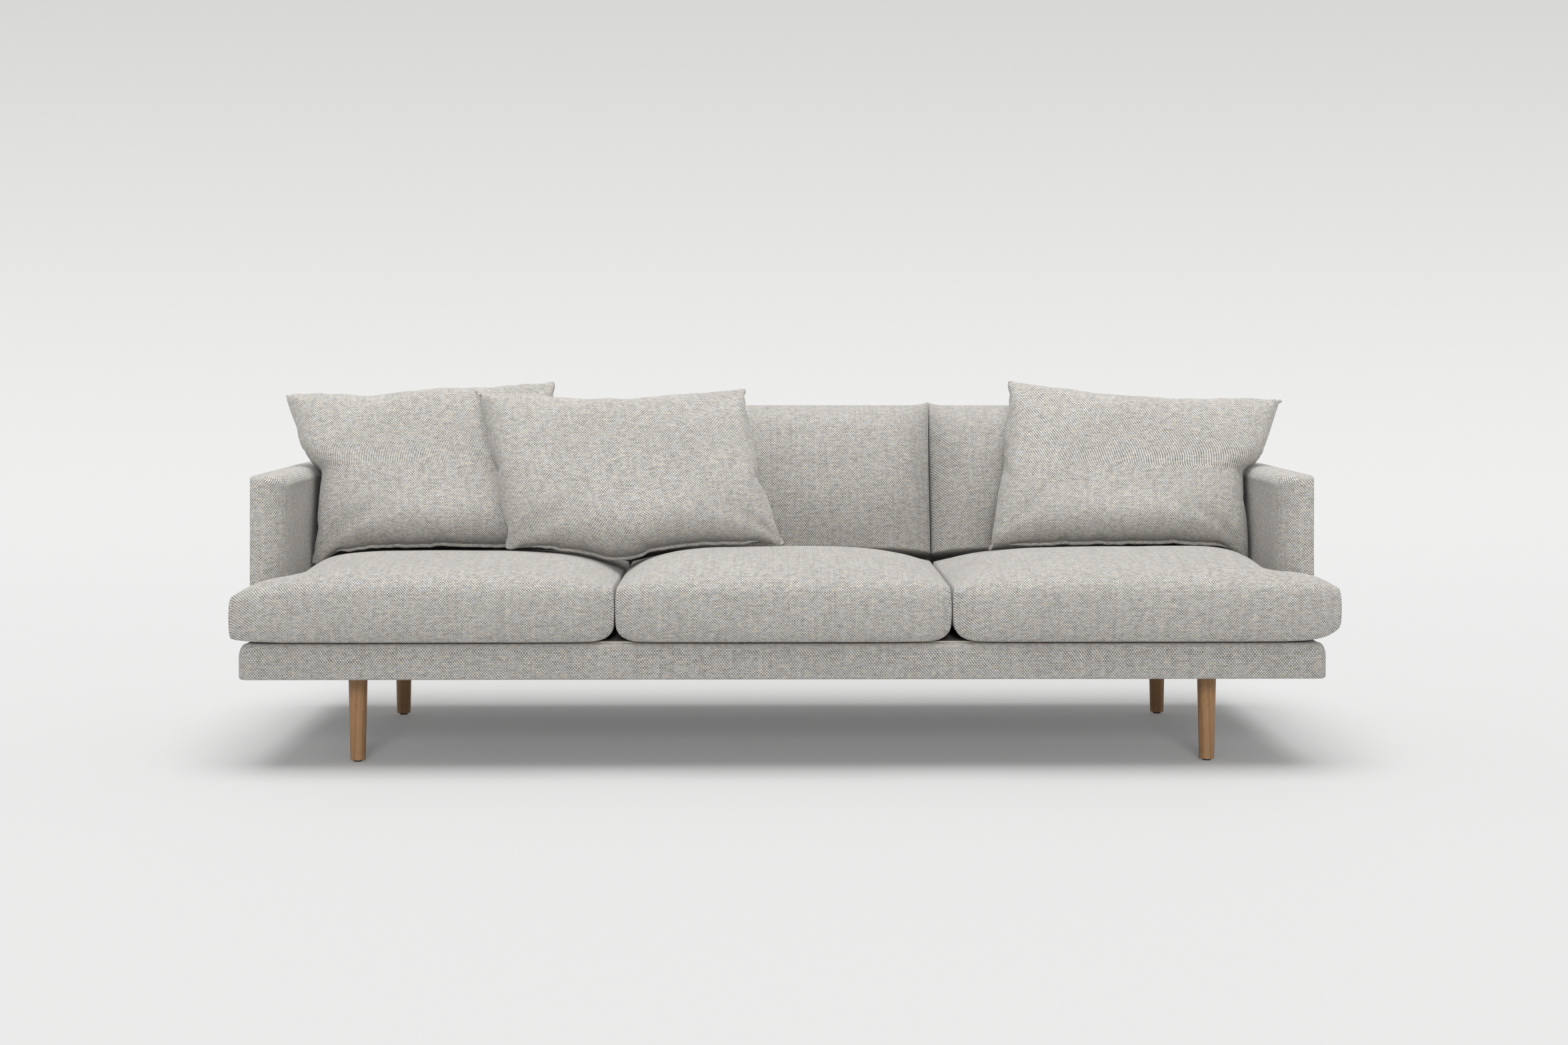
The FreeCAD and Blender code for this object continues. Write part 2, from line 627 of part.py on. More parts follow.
def t_plan(name, side, low, ear, inset):
    """Plan of an outer seat cushion, whose ear stands in front of the arm."""
    wing = f"{ear}-{inset}"
    inner = f"{ARM_INNER}-clearance-{inset}"
    tail = f"{ARM_FRONT}-clearance-{inset}"
    start = f"{low}+{inset}"
    front = f"{FRONT}+{inset}-1"
    rear = f"{REAR}"
    outline = [(start, front), (wing, front), (wing, tail), (inner, tail), (inner, rear),
               (start, rear)]
    if side < 0:
        outline = [(f"-({x})", y) for x, y in reversed(outline)]
    return prism(name, "XY_Plane", outline, f"{DECK_TOP}-1", "seat_crown+40")


def seat_zip(name, centre):
    middle = f"({SEAT_LOW}+seat_zip_rise)"
    return box(name, (f"{centre}-zip_length/2", f"{back_face(middle)}-clearance-cloth*4", middle),
               (f"{centre}+zip_length/2", f"{back_face(middle)}+10", f"{middle}+zip_height"))


HALF_MODULE = "(seat_module/2-clearance)"
EAR = "(sofa_width/2)"


def outer_seat(side, hand):
    solids = []
    for tag, inset in (("outer", "0"), ("filling", "cloth")):
        low, high = "seat_module/2+clearance", EAR
        ends = (low, high) if side > 0 else (f"-{high}", f"-({low})")
        body = seat_solid(f"{hand}_seat_{tag}_body", ends[0], ends[1], inset)
        plan = t_plan(f"{hand}_seat_{tag}_plan", side, "seat_module/2+clearance", EAR, inset)
        solids.append(common(f"{hand}_seat_{tag}", body, plan))
    centre = f"{'-' if side < 0 else ''}seat_module"
    return cushion(f"{hand}_seat", solids[0], solids[1], seat_zip(f"{hand}_seat_slot", centre))


left_seat = outer_seat(-1, "left")
right_seat = outer_seat(1, "right")
centre_seat = cushion("centre_seat",
                      seat_solid("centre_seat_outer", f"-{HALF_MODULE}", HALF_MODULE, "0"),
                      seat_solid("centre_seat_inner", f"-{HALF_MODULE}", HALF_MODULE, "cloth"),
                      seat_zip("centre_seat_slot", "0"))

BACK_PROFILE = [
    # from the middle seam, height up the slope, and the filling's way in
    (f"-{BELLY_FOOT}", "0", 1, 1),
    ("-back_cushion_front", "belly_low", 1, 0),
    ("-back_cushion_front", "belly_high", 1, 0),
    ("-back_cushion_front*head_share", "back_cushion_height-head_drop", 1, -1),
    ("0", "back_cushion_height", 0, -1),
    ("back_cushion_rear/2", "back_cushion_height-head_drop", -1, -1),
    ("back_cushion_rear", "belly_high+nape_rise", -1, 0),
    ("back_cushion_rear", "heel_height", -1, 0),
    ("back_cushion_rear*heel_share", "0", -1, 1),
]


def back_cushion(name, low, high):
    solids = []
    for tag, inset in (("outer", "0"), ("inner", "cloth")):
        points = [(f"{w}+{dw}*{inset}", f"{u}+{du}*{inset}") for w, u, dw, du in BACK_PROFILE]
        body = prism(f"{name}_{tag}", "YZ_Plane", points, f"{low}+{inset}",
                     f"{high}-({low})-2*{inset}")
        solids.append(place(body, "0", BACK_FOOT_Y, BACK_FOOT_Z, roll="-lean"))
    middle = f"(({low})+({high}))/2"
    slot = box(f"{name}_slot", (f"{middle}-zip_length/2", "0", "-5"),
               (f"{middle}+zip_length/2", "zip_height", "cloth*3"))
    slot.setExpression("Placement", named(
        f"placement(vector(1mm*({middle}-zip_length/2);1mm*({BACK_FOOT_Y});"
        f"1mm*({BACK_FOOT_Z}));rotation(0;0;-lean))"))
    return cushion(name, solids[0], solids[1], slot)


centre_back = back_cushion("centre_back", f"-{HALF_MODULE}", HALF_MODULE)
left_back = back_cushion("left_back", f"-{ARM_INNER}+clearance",
                         "-seat_module/2-clearance")
right_back = back_cushion("right_back", "seat_module/2+clearance",
                          f"{ARM_INNER}-clearance")

# Where a scatter cushion touches the belly of the back cushion behind it.
BELLY_Y = f"({BACK_FOOT_Y}+belly_high*{SIN_LEAN}-back_cushion_front*{COS_LEAN})"
BELLY_Z = f"({BACK_FOOT_Z}+belly_high*{COS_LEAN}+back_cushion_front*{SIN_LEAN})"
SCATTER_Z = f"({SEAT_CROWN_Z}-seat_rest_drop+clearance*2)"
SCATTER_Y = (f"({BELLY_Y}-(scatter_half+clearance)/cos(scatter_lean*1deg)"
             f"-({BELLY_Z}-{SCATTER_Z})*tan(scatter_lean*1deg))")


def scatter(name, outline, x, y, z, yaw):
    """Knife-edged cushion: its seam outline swells to a smaller crown each side."""
    count = len(outline)
    middle = ["(" + "+".join(f"({p[axis]})" for p in outline) + f")/{count}" for axis in (0, 1)]

    def ring(share, less=0):
        return [tuple(f"{middle[axis]}+(({p[axis]})-({middle[axis]}))*({share})"
                      for axis in (0, 1)) for p in outline]

    solids = []
    for tag, share, half in (
            ("outer", "1", "scatter_half"),
            ("inner", "(1-2*scatter_inset/scatter_height)", "(scatter_half-scatter_skin)")):
        body = doc.addObject("PartDesign::Body", f"{name}_{tag}")
        for way in (1, -1):
            seam = polygon(body, "XZ_Plane", ring(share))
            crown = polygon(body, "XZ_Plane", ring(f"{share}*scatter_taper"), f"{way}*{half}")
            loft = body.newObject("PartDesign::AdditiveLoft", f"{name}_{tag}_loft")
            loft.Profile = seam
            loft.Sections = [crown]
            loft.Ruled = True
            doc.recompute()
        solids.append(place(body, x, y, z, yaw, "-scatter_lean"))
    slot = doc.addObject("Part::Box", f"{name}_slot")
    bind(slot, "Length", "scatter_zip_length")
    bind(slot, "Width", "zip_height")
    bind(slot, "Height", "scatter_inset*2")
    foot = f"(({outline[0][0]})+({outline[1][0]}))/2-scatter_zip_length/2"
    slot.setExpression("Placement", named(
        f"placement(vector(1mm*({x});1mm*({y});1mm*({z}));rotation({yaw};0;-scatter_lean))"
        f"*placement(vector(1mm*({foot});-zip_height/2*1mm;-scatter_inset*1mm);rotation(0;0;0))"))
    return cushion(name, solids[0], solids[1], slot)


def side_scatter(hand, side):
    arm_side = f"{side}*({ARM_INNER}-clearance*2)"
    outline = [(arm_side, "0"), (f"{side}*({ARM_INNER}-scatter_inner)", "0"),
               (f"{side}*({ARM_INNER}-scatter_inner+scatter_head_shift)", "scatter_height"),
               (f"{side}*({ARM_INNER}+scatter_ear)", "scatter_height"),
               (arm_side, "scatter_waist")]
    return scatter(f"{hand}_scatter", outline, "0", SCATTER_Y, SCATTER_Z, "0")


left_scatter = side_scatter("left", -1)
right_scatter = side_scatter("right", 1)
centre_scatter = scatter(
    "centre_scatter",
    [("0", "0"), ("middle_scatter_width", "0"),
     ("middle_scatter_width-middle_scatter_shear", "scatter_height"),
     ("-middle_scatter_shear+middle_scatter_trim", "scatter_height")],
    f"-({ARM_INNER}-scatter_inner+middle_scatter_overlap)", f"{SCATTER_Y}-middle_scatter_forward",
    f"{SCATTER_Z}+middle_scatter_rise", "middle_scatter_yaw")

# -------------------------------------------------------------- export ----
NODES = (legs + [glides, hanger_bolts, leg_inserts, leg_plates, front_rail, rear_rail,
                 left_end_rail, right_end_rail, frame_bolts, cross_rails, leg_boards,
                 base_cover, dust_cover, seat_webbing, deck_pad, deck_cover,
                 back_posts, back_top_rail, back_webbing, back_padding, back_cover]
         + left_arm + right_arm + left_seat + centre_seat + right_seat
         + left_back + centre_back + right_back
         + left_scatter + centre_scatter + right_scatter)
doc.recompute()
for obj in doc.Objects:
    if "Invalid" in obj.State or "Error" in obj.State:
        raise RuntimeError(f"{obj.Label} could not be made: {obj.State}")
for node in NODES:
    if node.Shape.isNull() or not node.Shape.isValid() or not node.Shape.Solids:
        raise RuntimeError(f"{node.Label} has no valid solid")
os.makedirs("parts", exist_ok=True)
for node in NODES:
    node.Shape.exportStep(f"parts/{node.Label}.step")
print(len(NODES), "nodes,", sum(len(node.Shape.Solids) for node in NODES), "solids")
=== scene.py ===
"""Three-seat sofa on turned oak legs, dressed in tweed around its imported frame."""
import math

import bmesh
import bpy
import numpy as np
from bpy.props import (FloatProperty, FloatVectorProperty, IntProperty,
                       PointerProperty)
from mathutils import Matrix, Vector, noise
from mathutils.bvhtree import BVHTree


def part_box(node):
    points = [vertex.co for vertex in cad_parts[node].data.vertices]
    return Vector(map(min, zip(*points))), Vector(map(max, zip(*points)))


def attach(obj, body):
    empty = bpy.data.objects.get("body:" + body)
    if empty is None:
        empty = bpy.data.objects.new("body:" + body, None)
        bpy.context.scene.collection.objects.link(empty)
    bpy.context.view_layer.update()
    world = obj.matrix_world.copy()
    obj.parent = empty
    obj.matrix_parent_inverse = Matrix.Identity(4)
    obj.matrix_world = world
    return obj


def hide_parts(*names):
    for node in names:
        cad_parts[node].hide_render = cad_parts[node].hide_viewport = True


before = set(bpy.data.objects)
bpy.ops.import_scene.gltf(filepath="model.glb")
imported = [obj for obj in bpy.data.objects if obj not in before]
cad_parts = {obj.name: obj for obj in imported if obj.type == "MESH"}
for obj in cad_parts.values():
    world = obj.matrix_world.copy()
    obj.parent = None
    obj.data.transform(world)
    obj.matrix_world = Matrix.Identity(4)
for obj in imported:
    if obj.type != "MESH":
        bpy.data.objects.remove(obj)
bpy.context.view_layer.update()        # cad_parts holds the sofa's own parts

bl_info = {
    "name": "Three-seat sofa",
    "version": (1, 0, 0),
    "blender": (4, 5, 0),
    "location": "View3D > Sidebar > Sofa",
    "description": "Builds the covers, cushions and finishes of a three-seat sofa",
    "category": "Object",
}

LAY = "cloth"             # name of the flat lay of the cloth, in metres
SEAM_CREASE = 0.8
COLOUR = {"size": 3, "subtype": "COLOR", "min": 0, "max": 1}


# ---- settings
class SofaCloth(bpy.types.PropertyGroup):
    """The weave of the tweed and the colours of its yarns."""
    cell: FloatProperty(
        name="Weave cell", description="Width of one barleycorn of the weave",
        default=0.00605, min=0.001, unit="LENGTH")
    row: FloatProperty(
        name="Row height", description="Height of a row, as a share of the cell's width",
        default=0.56, min=0.2, max=2, subtype="FACTOR")
    light_yarn: FloatVectorProperty(
        name="Light yarn", description="Colour of the pale yarn",
        default=(0.97, 0.935, 0.88), **COLOUR)
    grey_yarn: FloatVectorProperty(
        name="Grey yarn", description="Colour of the grey yarn",
        default=(0.36, 0.346, 0.325), **COLOUR)
    dark_yarn: FloatVectorProperty(
        name="Dark yarn", description="Colour of the darkest yarn",
        default=(0.115, 0.111, 0.105), **COLOUR)
    tan_slub: FloatVectorProperty(
        name="Tan slub", description="Colour of the warm slubs",
        default=(0.52, 0.42, 0.29), **COLOUR)
    blue_slub: FloatVectorProperty(
        name="Blue slub", description="Colour of the cool slubs",
        default=(0.30, 0.35, 0.41), **COLOUR)


class SofaOak(bpy.types.PropertyGroup):
    """The two colours of the legs' grain."""
    early_wood: FloatVectorProperty(
        name="Early wood", description="Colour of the pale grain",
        default=(0.36, 0.20, 0.092), **COLOUR)
    late_wood: FloatVectorProperty(
        name="Late wood", description="Colour of the dark grain lines",
        default=(0.27, 0.142, 0.06), **COLOUR)


class SofaShape(bpy.types.PropertyGroup):
    """The covers' mesh, their softness and the scatters' flat size."""
    pitch: FloatProperty(
        name="Mesh pitch", description="Distance between neighbouring points of a cover",
        default=0.013, min=0.005, unit="LENGTH")
    rumple: FloatProperty(
        name="Rumple", description="Height of the soft unevenness of a filled cover",
        default=0.0022, min=0, unit="LENGTH")
    pucker: FloatProperty(
        name="Pucker", description="Height of the small pleats beside a seam",
        default=0.0012, min=0, unit="LENGTH")
    scatter_width: FloatProperty(
        name="Scatter width", description="Flat width of a scatter cushion's cover",
        default=0.72, min=0.3, unit="LENGTH")
    scatter_height: FloatProperty(
        name="Scatter height", description="Flat height of a scatter cushion's cover",
        default=0.50, min=0.2, unit="LENGTH")
    scatter_frames: IntProperty(
        name="Filling steps", description="Steps of blowing up a scatter cushion",
        default=12, min=4, max=20)


class SofaStudio(bpy.types.PropertyGroup):
    """The floor and the lights."""
    overhead: FloatProperty(
        name="Overhead light", description="Strength of the broad light from above",
        default=2.75, min=0)
    front: FloatProperty(
        name="Front light", description="Strength of the soft light from the front",
        default=1.20, min=0)
    fill: FloatProperty(
        name="Fill", description="Strength of the even light from all round",
        default=0.46, min=0)
    glow: FloatProperty(
        name="Glow", description="Faint light of the floor itself, which softens shadows",
        default=0.11, min=0)
    floor: FloatVectorProperty(
        name="Floor", description="Colour of the floor",
        default=(0.47, 0.47, 0.469), **COLOUR)
    backdrop: FloatVectorProperty(
        name="Backdrop", description="Colour of the wall behind",
        default=(0.486, 0.486, 0.482), **COLOUR)


# ---- node maths
class Wire:
    """A value in a finish's node tree, which takes part in Python sums."""

    def __init__(self, finish, socket):
        self.finish, self.socket = finish, socket

    def _sum(self, operation, *values):
        return self.finish.add("ShaderNodeMath", {"operation": operation},
                               dict(enumerate(values)))

    def __add__(self, other): return self._sum("ADD", self, other)
    def __radd__(self, other): return self._sum("ADD", other, self)
    def __sub__(self, other): return self._sum("SUBTRACT", self, other)
    def __rsub__(self, other): return self._sum("SUBTRACT", other, self)
    def __mul__(self, other): return self._sum("MULTIPLY", self, other)
    def __rmul__(self, other): return self._sum("MULTIPLY", other, self)
    def __truediv__(self, other): return self._sum("DIVIDE", self, other)
    def __rtruediv__(self, other): return self._sum("DIVIDE", other, self)
    def __abs__(self): return self._sum("ABSOLUTE", self)

    def floor(self): return self._sum("FLOOR", self)
    def sine(self): return self._sum("SINE", self)
    def root(self): return self._sum("SQRT", self)

    def step(self, low, high):
        """0 below low, 1 above high and a smooth rise between them."""
        return self.finish.add(
            "ShaderNodeMapRange", {"interpolation_type": "SMOOTHSTEP"},
            {"Value": self, "From Min": low, "From Max": high})


class Finish:
    """One procedural material with a single shader."""

    def __init__(self, name, **shader):
        self.material = bpy.data.materials.new(name)
        self.material.use_nodes = True
        self.tree = self.material.node_tree
        self.tree.nodes.clear()
        self.shader = self.tree.nodes.new("ShaderNodeBsdfPrincipled")
        out = self.tree.nodes.new("ShaderNodeOutputMaterial")
        self.tree.links.new(self.shader.outputs[0], out.inputs[0])
        for socket, value in shader.items():
            self.shader.inputs[socket.replace("_", " ")].default_value = value

    def add(self, kind, settings=None, sockets=None, out=0):
        """A node of that kind, its settings set first, then its sockets."""
        node = self.tree.nodes.new(kind)
        for key, value in (settings or {}).items():
            setattr(node, key, value)
        for key, value in (sockets or {}).items():
            self.feed(node.inputs[key], value)
        return Wire(self, node.outputs[out])

    def feed(self, socket, value):
        if isinstance(value, Wire):
            self.tree.links.new(value.socket, socket)
        elif socket.type == "RGBA" and len(value) == 3:
            socket.default_value = (*value, 1)
        else:
            socket.default_value = value

    def set(self, socket, value):
        self.feed(self.shader.inputs[socket], value)

    def mix(self, share, a, b, blend="MIX"):
        """Colour a where share is 0 and b where it is 1."""
        return self.add("ShaderNodeMix", {"data_type": "RGBA", "blend_type": blend},
                        {0: share, 6: a, 7: b}, out=2)

    def place(self):
        """Where each spot of the piece is, in metres."""
        return self.add("ShaderNodeTexCoord", out="Object")

    def point(self, x, y, z=0.0):
        return self.add("ShaderNodeCombineXYZ", sockets={0: x, 1: y, 2: z})

    def parts(self, vector):
        node = self.add("ShaderNodeSeparateXYZ", sockets={0: vector})
        return [Wire(self, s) for s in node.socket.node.outputs]

    def cloud(self, vector, scale=1.0, detail=2.0):
        """Soft noise from 0 to 1, with scale clouds to a metre."""
        return self.add("ShaderNodeTexNoise", {"noise_dimensions": "3D"},
                        {"Vector": vector, "Scale": scale, "Detail": detail})

    def chance(self, vector):
        """A number from 0 to 1 for each whole place."""
        return self.add("ShaderNodeTexWhiteNoise", {"noise_dimensions": "3D"},
                        {"Vector": vector})

    def pebbles(self, vector, scale):
        """Distance from the middle of scattered cells."""
        return self.add("ShaderNodeTexVoronoi",
                        sockets={"Vector": vector, "Scale": scale})

    def relief(self, height, distance, strength=1.0):
        """Raises the surface by height times distance."""
        self.set("Normal", self.add("ShaderNodeBump", sockets={
            "Height": height, "Distance": distance, "Strength": strength}))


# ---- finishes
LEG_AT = (0.985, 0.321)   # how far a leg's middle is out from the sofa's middle


def tweed_finish(name, cloth, painted_lighting=1.0):
    """Barleycorn tweed: pale humps over grey yarn, with tan and blue slubs."""
    f = Finish(name, Sheen_Weight=0.22, Sheen_Roughness=0.45, Specular_IOR_Level=0.25)
    flat = f.add("ShaderNodeUVMap", {"uv_map": LAY})
    u, v, _ = f.parts(flat)
    # Each barleycorn has a cell of its own. Every second row is half a cell along.
    drift = f.cloud(flat, 16.0, 2.0)
    across = u / cloth.cell + drift * 0.9
    up = v / (cloth.cell * cloth.row) + drift * 0.7
    row = up.floor()
    shifted = across + row * 0.5
    column = shifted.floor()
    first = f.chance(f.point(column, row))
    second = f.chance(f.point(column, row, 7.0))
    # The hump leans a little, and no two are the same size.
    a, b = shifted - column - 0.5, up - row - 0.5
    slant = a + b * 0.22
    size = 1.30 - first * 0.62
    reach = ((slant * slant) * 11.5 + (b * b) * 3.4).root() * size
    hump = 1 - reach.step(0.46, 1.06)
    pale = f.mix(first * 0.85, cloth.light_yarn[:], cloth.grey_yarn[:])
    ground = f.mix(second * 0.9, cloth.grey_yarn[:], cloth.dark_yarn[:])
    # Slubs are short lengths of thick yarn, laid across the cloth.
    for slub, thick, fine, layer in ((cloth.tan_slub, (38.0, 0.0), 200.0, 1.0),
                                     (cloth.blue_slub, (34.0, 31.0), 180.0, 4.0)):
        spot = f.point(u * thick[0] + thick[1], v * fine, layer)
        ground = f.mix(f.cloud(spot, detail=1.0).step(0.54, 0.72) * 0.50, ground, slub[:])
    # Streaks and broad clouds of shade keep a large face from looking even.
    streak = f.cloud(f.point(u * 150.0, v * 6.0, 9.0), detail=1.0)
    broad = f.cloud(flat, 3.2, 3.0)
    # The last term scales the whole colour: above 1 it is painted light, below 1 painted
    # shade.
    shade = (broad - 0.5) * 0.10 + (streak - 0.5) * 0.26 + 0.965 * painted_lighting
    f.set("Base Color", f.mix(1.0, f.mix(hump, ground, pale),
                              f.point(shade, shade, shade), "MULTIPLY"))
    fuzz = f.cloud(flat, 900.0, 2.0)
    f.set("Roughness", 0.86 + fuzz * 0.12)
    f.relief(hump + fuzz * 0.25, 0.0011, 0.5)
    return f.material


def oak_finish(name, oak):
    """Oiled oak with arched grain, pores and a paler, rubbed foot."""
    f = Finish(name, Specular_IOR_Level=0.4)
    x, y, z = f.parts(f.place())
    # Measured from the middle of the nearest leg, so all four are cut alike.
    px, py = abs(x) - LEG_AT[0], abs(y) - LEG_AT[1]
    wander = f.cloud(f.point(px * 12.0, py * 12.0, z * 3.0), detail=3.0)
    # The heart of the tree lies outside the leg, so its rings show as arches.
    hx, hy = px + 0.034, py - 0.018
    reach = (hx * hx + hy * hy).root()
    ring = reach * 330.0 + z * 9.0 + wander * 9.0 + x * 3.0
    line = (ring.sine() * 0.5 + 0.5).step(0.62, 0.98)
    fibre = f.cloud(f.point(px * 900.0, py * 900.0, z * 22.0), detail=3.0)
    pore = f.cloud(f.point(px * 1500.0, py * 1500.0, z * 60.0), detail=1.0).step(0.62, 0.70)
    wood = f.mix(line * 0.75, oak.early_wood[:], oak.late_wood[:])
    wood = f.mix((fibre - 0.35) * 0.9, wood, oak.late_wood[:])
    wood = f.mix(pore * 0.55, wood, (0.09, 0.048, 0.024))
    foot = 1 - z.step(0.006, 0.03)
    f.set("Base Color", f.mix(foot * 0.25, wood, (0.42, 0.26, 0.14)))
    f.set("Roughness", 0.42 + fibre * 0.22 + pore * 0.15)
    f.relief(fibre - pore * 0.8, 0.0003, 0.5)
    return f.material


def timber_finish(name, pale, dark):
    """Sawn frame timber."""
    f = Finish(name, Specular_IOR_Level=0.3)
    x, y, z = f.parts(f.place())
    grain = f.cloud(f.point(x * 6.0, y * 60.0, z * 60.0), detail=4.0)
    ring = f.cloud(f.point(x * 1.5, y * 18.0, z * 18.0))
    f.set("Base Color", f.mix((grain * 0.6 + ring * 0.6).step(0.35, 0.8), pale, dark))
    f.set("Roughness", 0.65 + grain * 0.2)
    f.relief(grain, 0.0004, 0.5)
    return f.material


def woven_finish(name, thread, gap, pitch, stripe=None):
    """Plain woven cloth or tape, laid flat or upright."""
    f = Finish(name, Specular_IOR_Level=0.3)
    place = f.place()
    x, y, z = f.parts(place)
    over, along = x / pitch * math.pi, (y + z) / pitch * math.pi
    weave = over.sine() * along.sine() * 0.5 + 0.5
    colour = f.mix(weave.step(0.1, 0.8), gap, thread)
    if stripe:
        band = (over * 0.07).sine().step(0.8, 0.95)
        colour = f.mix(band * 0.8, colour, stripe)
    mottle = f.cloud(place, 40.0)
    f.set("Base Color", f.mix(mottle * 0.3, colour, gap))
    f.set("Roughness", 0.8 - weave * 0.1)
    f.relief(weave, 0.0004, 0.6)
    return f.material


def foam_finish(name):
    """Open-cell foam and wadding."""
    f = Finish(name, Roughness=0.95, Specular_IOR_Level=0.2)
    place = f.place()
    cells = f.pebbles(place, 420.0)
    broad = f.cloud(place, 12.0, 3.0)
    colour = f.mix(cells.step(0.1, 0.6), (0.48, 0.45, 0.36), (0.74, 0.71, 0.60))
    f.set("Base Color", f.mix(broad * 0.4, colour, (0.68, 0.62, 0.46)))
    f.relief(cells, 0.0008, 0.6)
    return f.material


def zinc_finish(name):
    """Zinc-plated steel with faint spangle and rubbed edges."""
    f = Finish(name, Metallic=0.95, Specular_IOR_Level=0.5)
    place = f.place()
    spangle = f.pebbles(place, 260.0)
    scuff = f.cloud(place, 120.0, 4.0)
    f.set("Base Color", f.mix(spangle, (0.62, 0.63, 0.64), (0.44, 0.45, 0.47)))
    f.set("Roughness", 0.28 + scuff * 0.3)
    f.relief(scuff, 0.0001, 0.4)
    return f.material


def nylon_finish(name):
    """Black moulded nylon with a fine grain."""
    f = Finish(name, Specular_IOR_Level=0.5)
    place = f.place()
    grain = f.cloud(place, 1500.0)
    scuff = f.cloud(place, 90.0, 3.0).step(0.5, 0.8)
    f.set("Base Color", f.mix(scuff * 0.5, (0.012, 0.012, 0.013), (0.05, 0.05, 0.05)))
    f.set("Roughness", 0.4 + grain * 0.25)
    f.relief(grain, 0.0001, 0.5)
    return f.material


# ---- shape help
def steps(low, high, pitch, fine=(0.004, 0.010)):
    """Places from low to high, closer together beside both ends."""
    inner = np.linspace(low + fine[-1], high - fine[-1],
                        max(2, int(round((high - low - 2 * fine[-1]) / pitch)) + 1))
    head = [low, *(low + f for f in fine[:-1])]
    tail = [*(high - f for f in reversed(fine[:-1])), high]
    return np.concatenate([head, inner, tail])


def swell(distance, reach):
    """Fullness that grows from a seam: 0 on it, near 1 beyond reach."""
    return 1 - np.exp(-np.maximum(distance, 0) / reach)


def line_through(x, places, heights):
    """A smooth line through the given heights."""
    x, places, heights = np.asarray(x, float), np.asarray(places), np.asarray(heights)
    rise = np.diff(heights) / np.diff(places)
    slope = np.concatenate([rise[:1], (rise[:-1] + rise[1:]) / 2, rise[-1:]])
    slope[1:-1][rise[:-1] * rise[1:] <= 0] = 0
    i = np.clip(np.searchsorted(places, x) - 1, 0, len(places) - 2)
    width = places[i + 1] - places[i]
    t = np.clip((x - places[i]) / width, 0, 1)
    return ((1 + 2 * t) * (1 - t) ** 2 * heights[i] + t * (1 - t) ** 2 * width * slope[i]
            + t * t * (3 - 2 * t) * heights[i + 1] + t * t * (t - 1) * width * slope[i + 1])


def lengths(points):
    """Running length along a row of points."""
    gaps = np.linalg.norm(np.diff(np.asarray(points, float), axis=0), axis=1)
    return np.concatenate([[0], np.cumsum(gaps)])


def uneven(x, y, seed, scale):
    """Gentle repeatable unevenness from about -1 to 1."""
    flat = zip(np.ravel(x), np.ravel(y))
    values = [noise.noise(Vector((p * scale, q * scale, seed))) for p, q in flat]
    return np.reshape(values, np.shape(x))


def bumps(x, y, seed, broad, small):
    """Broad bumps of a soft filling, with smaller ones on them."""
    return uneven(x, y, seed, broad) + 0.5 * uneven(x, y, seed + 3, small)


def pleats(run, x, y, seed):
    """Small uneven pleats, as cloth makes beside a seam."""
    return np.sin(run + 6 * uneven(x, y, seed + 9, 6))


def mark_seams(shell):
    """Creases the edges where two pieces of cloth are sewn together."""
    lay = shell.loops.layers.uv[LAY]
    crease = shell.edges.layers.float.new("crease_edge")
    for edge in shell.edges:
        if len(edge.link_loops) != 2:
            continue
        one, two = edge.link_loops
        ends = {loop.vert: loop[lay].uv for loop in (one, one.link_loop_next)}
        others = {loop.vert: loop[lay].uv for loop in (two, two.link_loop_next)}
        if any((ends[v] - others[v]).length > 1e-5 for v in ends):
            edge[crease] = SEAM_CREASE


class Cover:
    """Gathers the sewn panels of one piece and the flat lay of their cloth."""

    def __init__(self):
        self.points, self.faces, self.lays = [], [], []

    def add(self, points):
        start = len(self.points)
        self.points.extend(tuple(map(float, p)) for p in points)
        return list(range(start, len(self.points)))

    def loop(self, points):
        """Adds a closed row of points, which ends where it starts."""
        row = self.add(points)
        return row + row[:1]

    def grid(self, points):
        """Adds rows of points and gives back the rows of their numbers."""
        return [self.add(row) for row in points]

    def panel(self, numbers, lay):
        """Faces between rows of numbered points; None leaves a hole."""
        for r in range(len(numbers) - 1):
            for c in range(len(numbers[0]) - 1):
                face, flat = [], []
                corners = ((r, c), (r, c + 1), (r + 1, c + 1), (r + 1, c))
                if any(numbers[p][q] is None for p, q in corners):
                    continue
                for p, q in corners:
                    if numbers[p][q] not in face:
                        face.append(numbers[p][q])
                        flat.append(tuple(map(float, lay[p][q])))
                if len(face) > 2:
                    self.faces.append(face)
                    self.lays.append(flat)

    def piece(self, name, finish, creased=True):
        """Makes the object, in the finish of that name."""
        mesh = bpy.data.meshes.new(name)
        mesh.from_pydata(self.points, [], self.faces)
        layer = mesh.uv_layers.new(name=LAY)
        flat = [xy for face in self.lays for xy in face]
        layer.data.foreach_set("uv", np.array(flat, np.float32).ravel())
        shell = bmesh.new()
        shell.from_mesh(mesh)
        bmesh.ops.recalc_face_normals(shell, faces=shell.faces)
        if creased:
            mark_seams(shell)
        shell.to_mesh(mesh)
        shell.free()
        mesh.shade_smooth()
        mesh.materials.append(bpy.data.materials[finish])
        made = bpy.data.objects.new(name, mesh)
        bpy.context.scene.collection.objects.link(made)
        return made


def soften(piece):
    """One round of subdivision for a smooth close view."""
    smooth = piece.modifiers.new("soften", "SUBSURF")
    smooth.levels = smooth.render_levels = 1
    smooth.uv_smooth = "PRESERVE_BOUNDARIES"
    return piece


def hand_over(piece, body, nodes=()):
    """Says which body the piece rides on and what it stands for."""
    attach(piece, body)
    if nodes:
        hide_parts(*nodes)


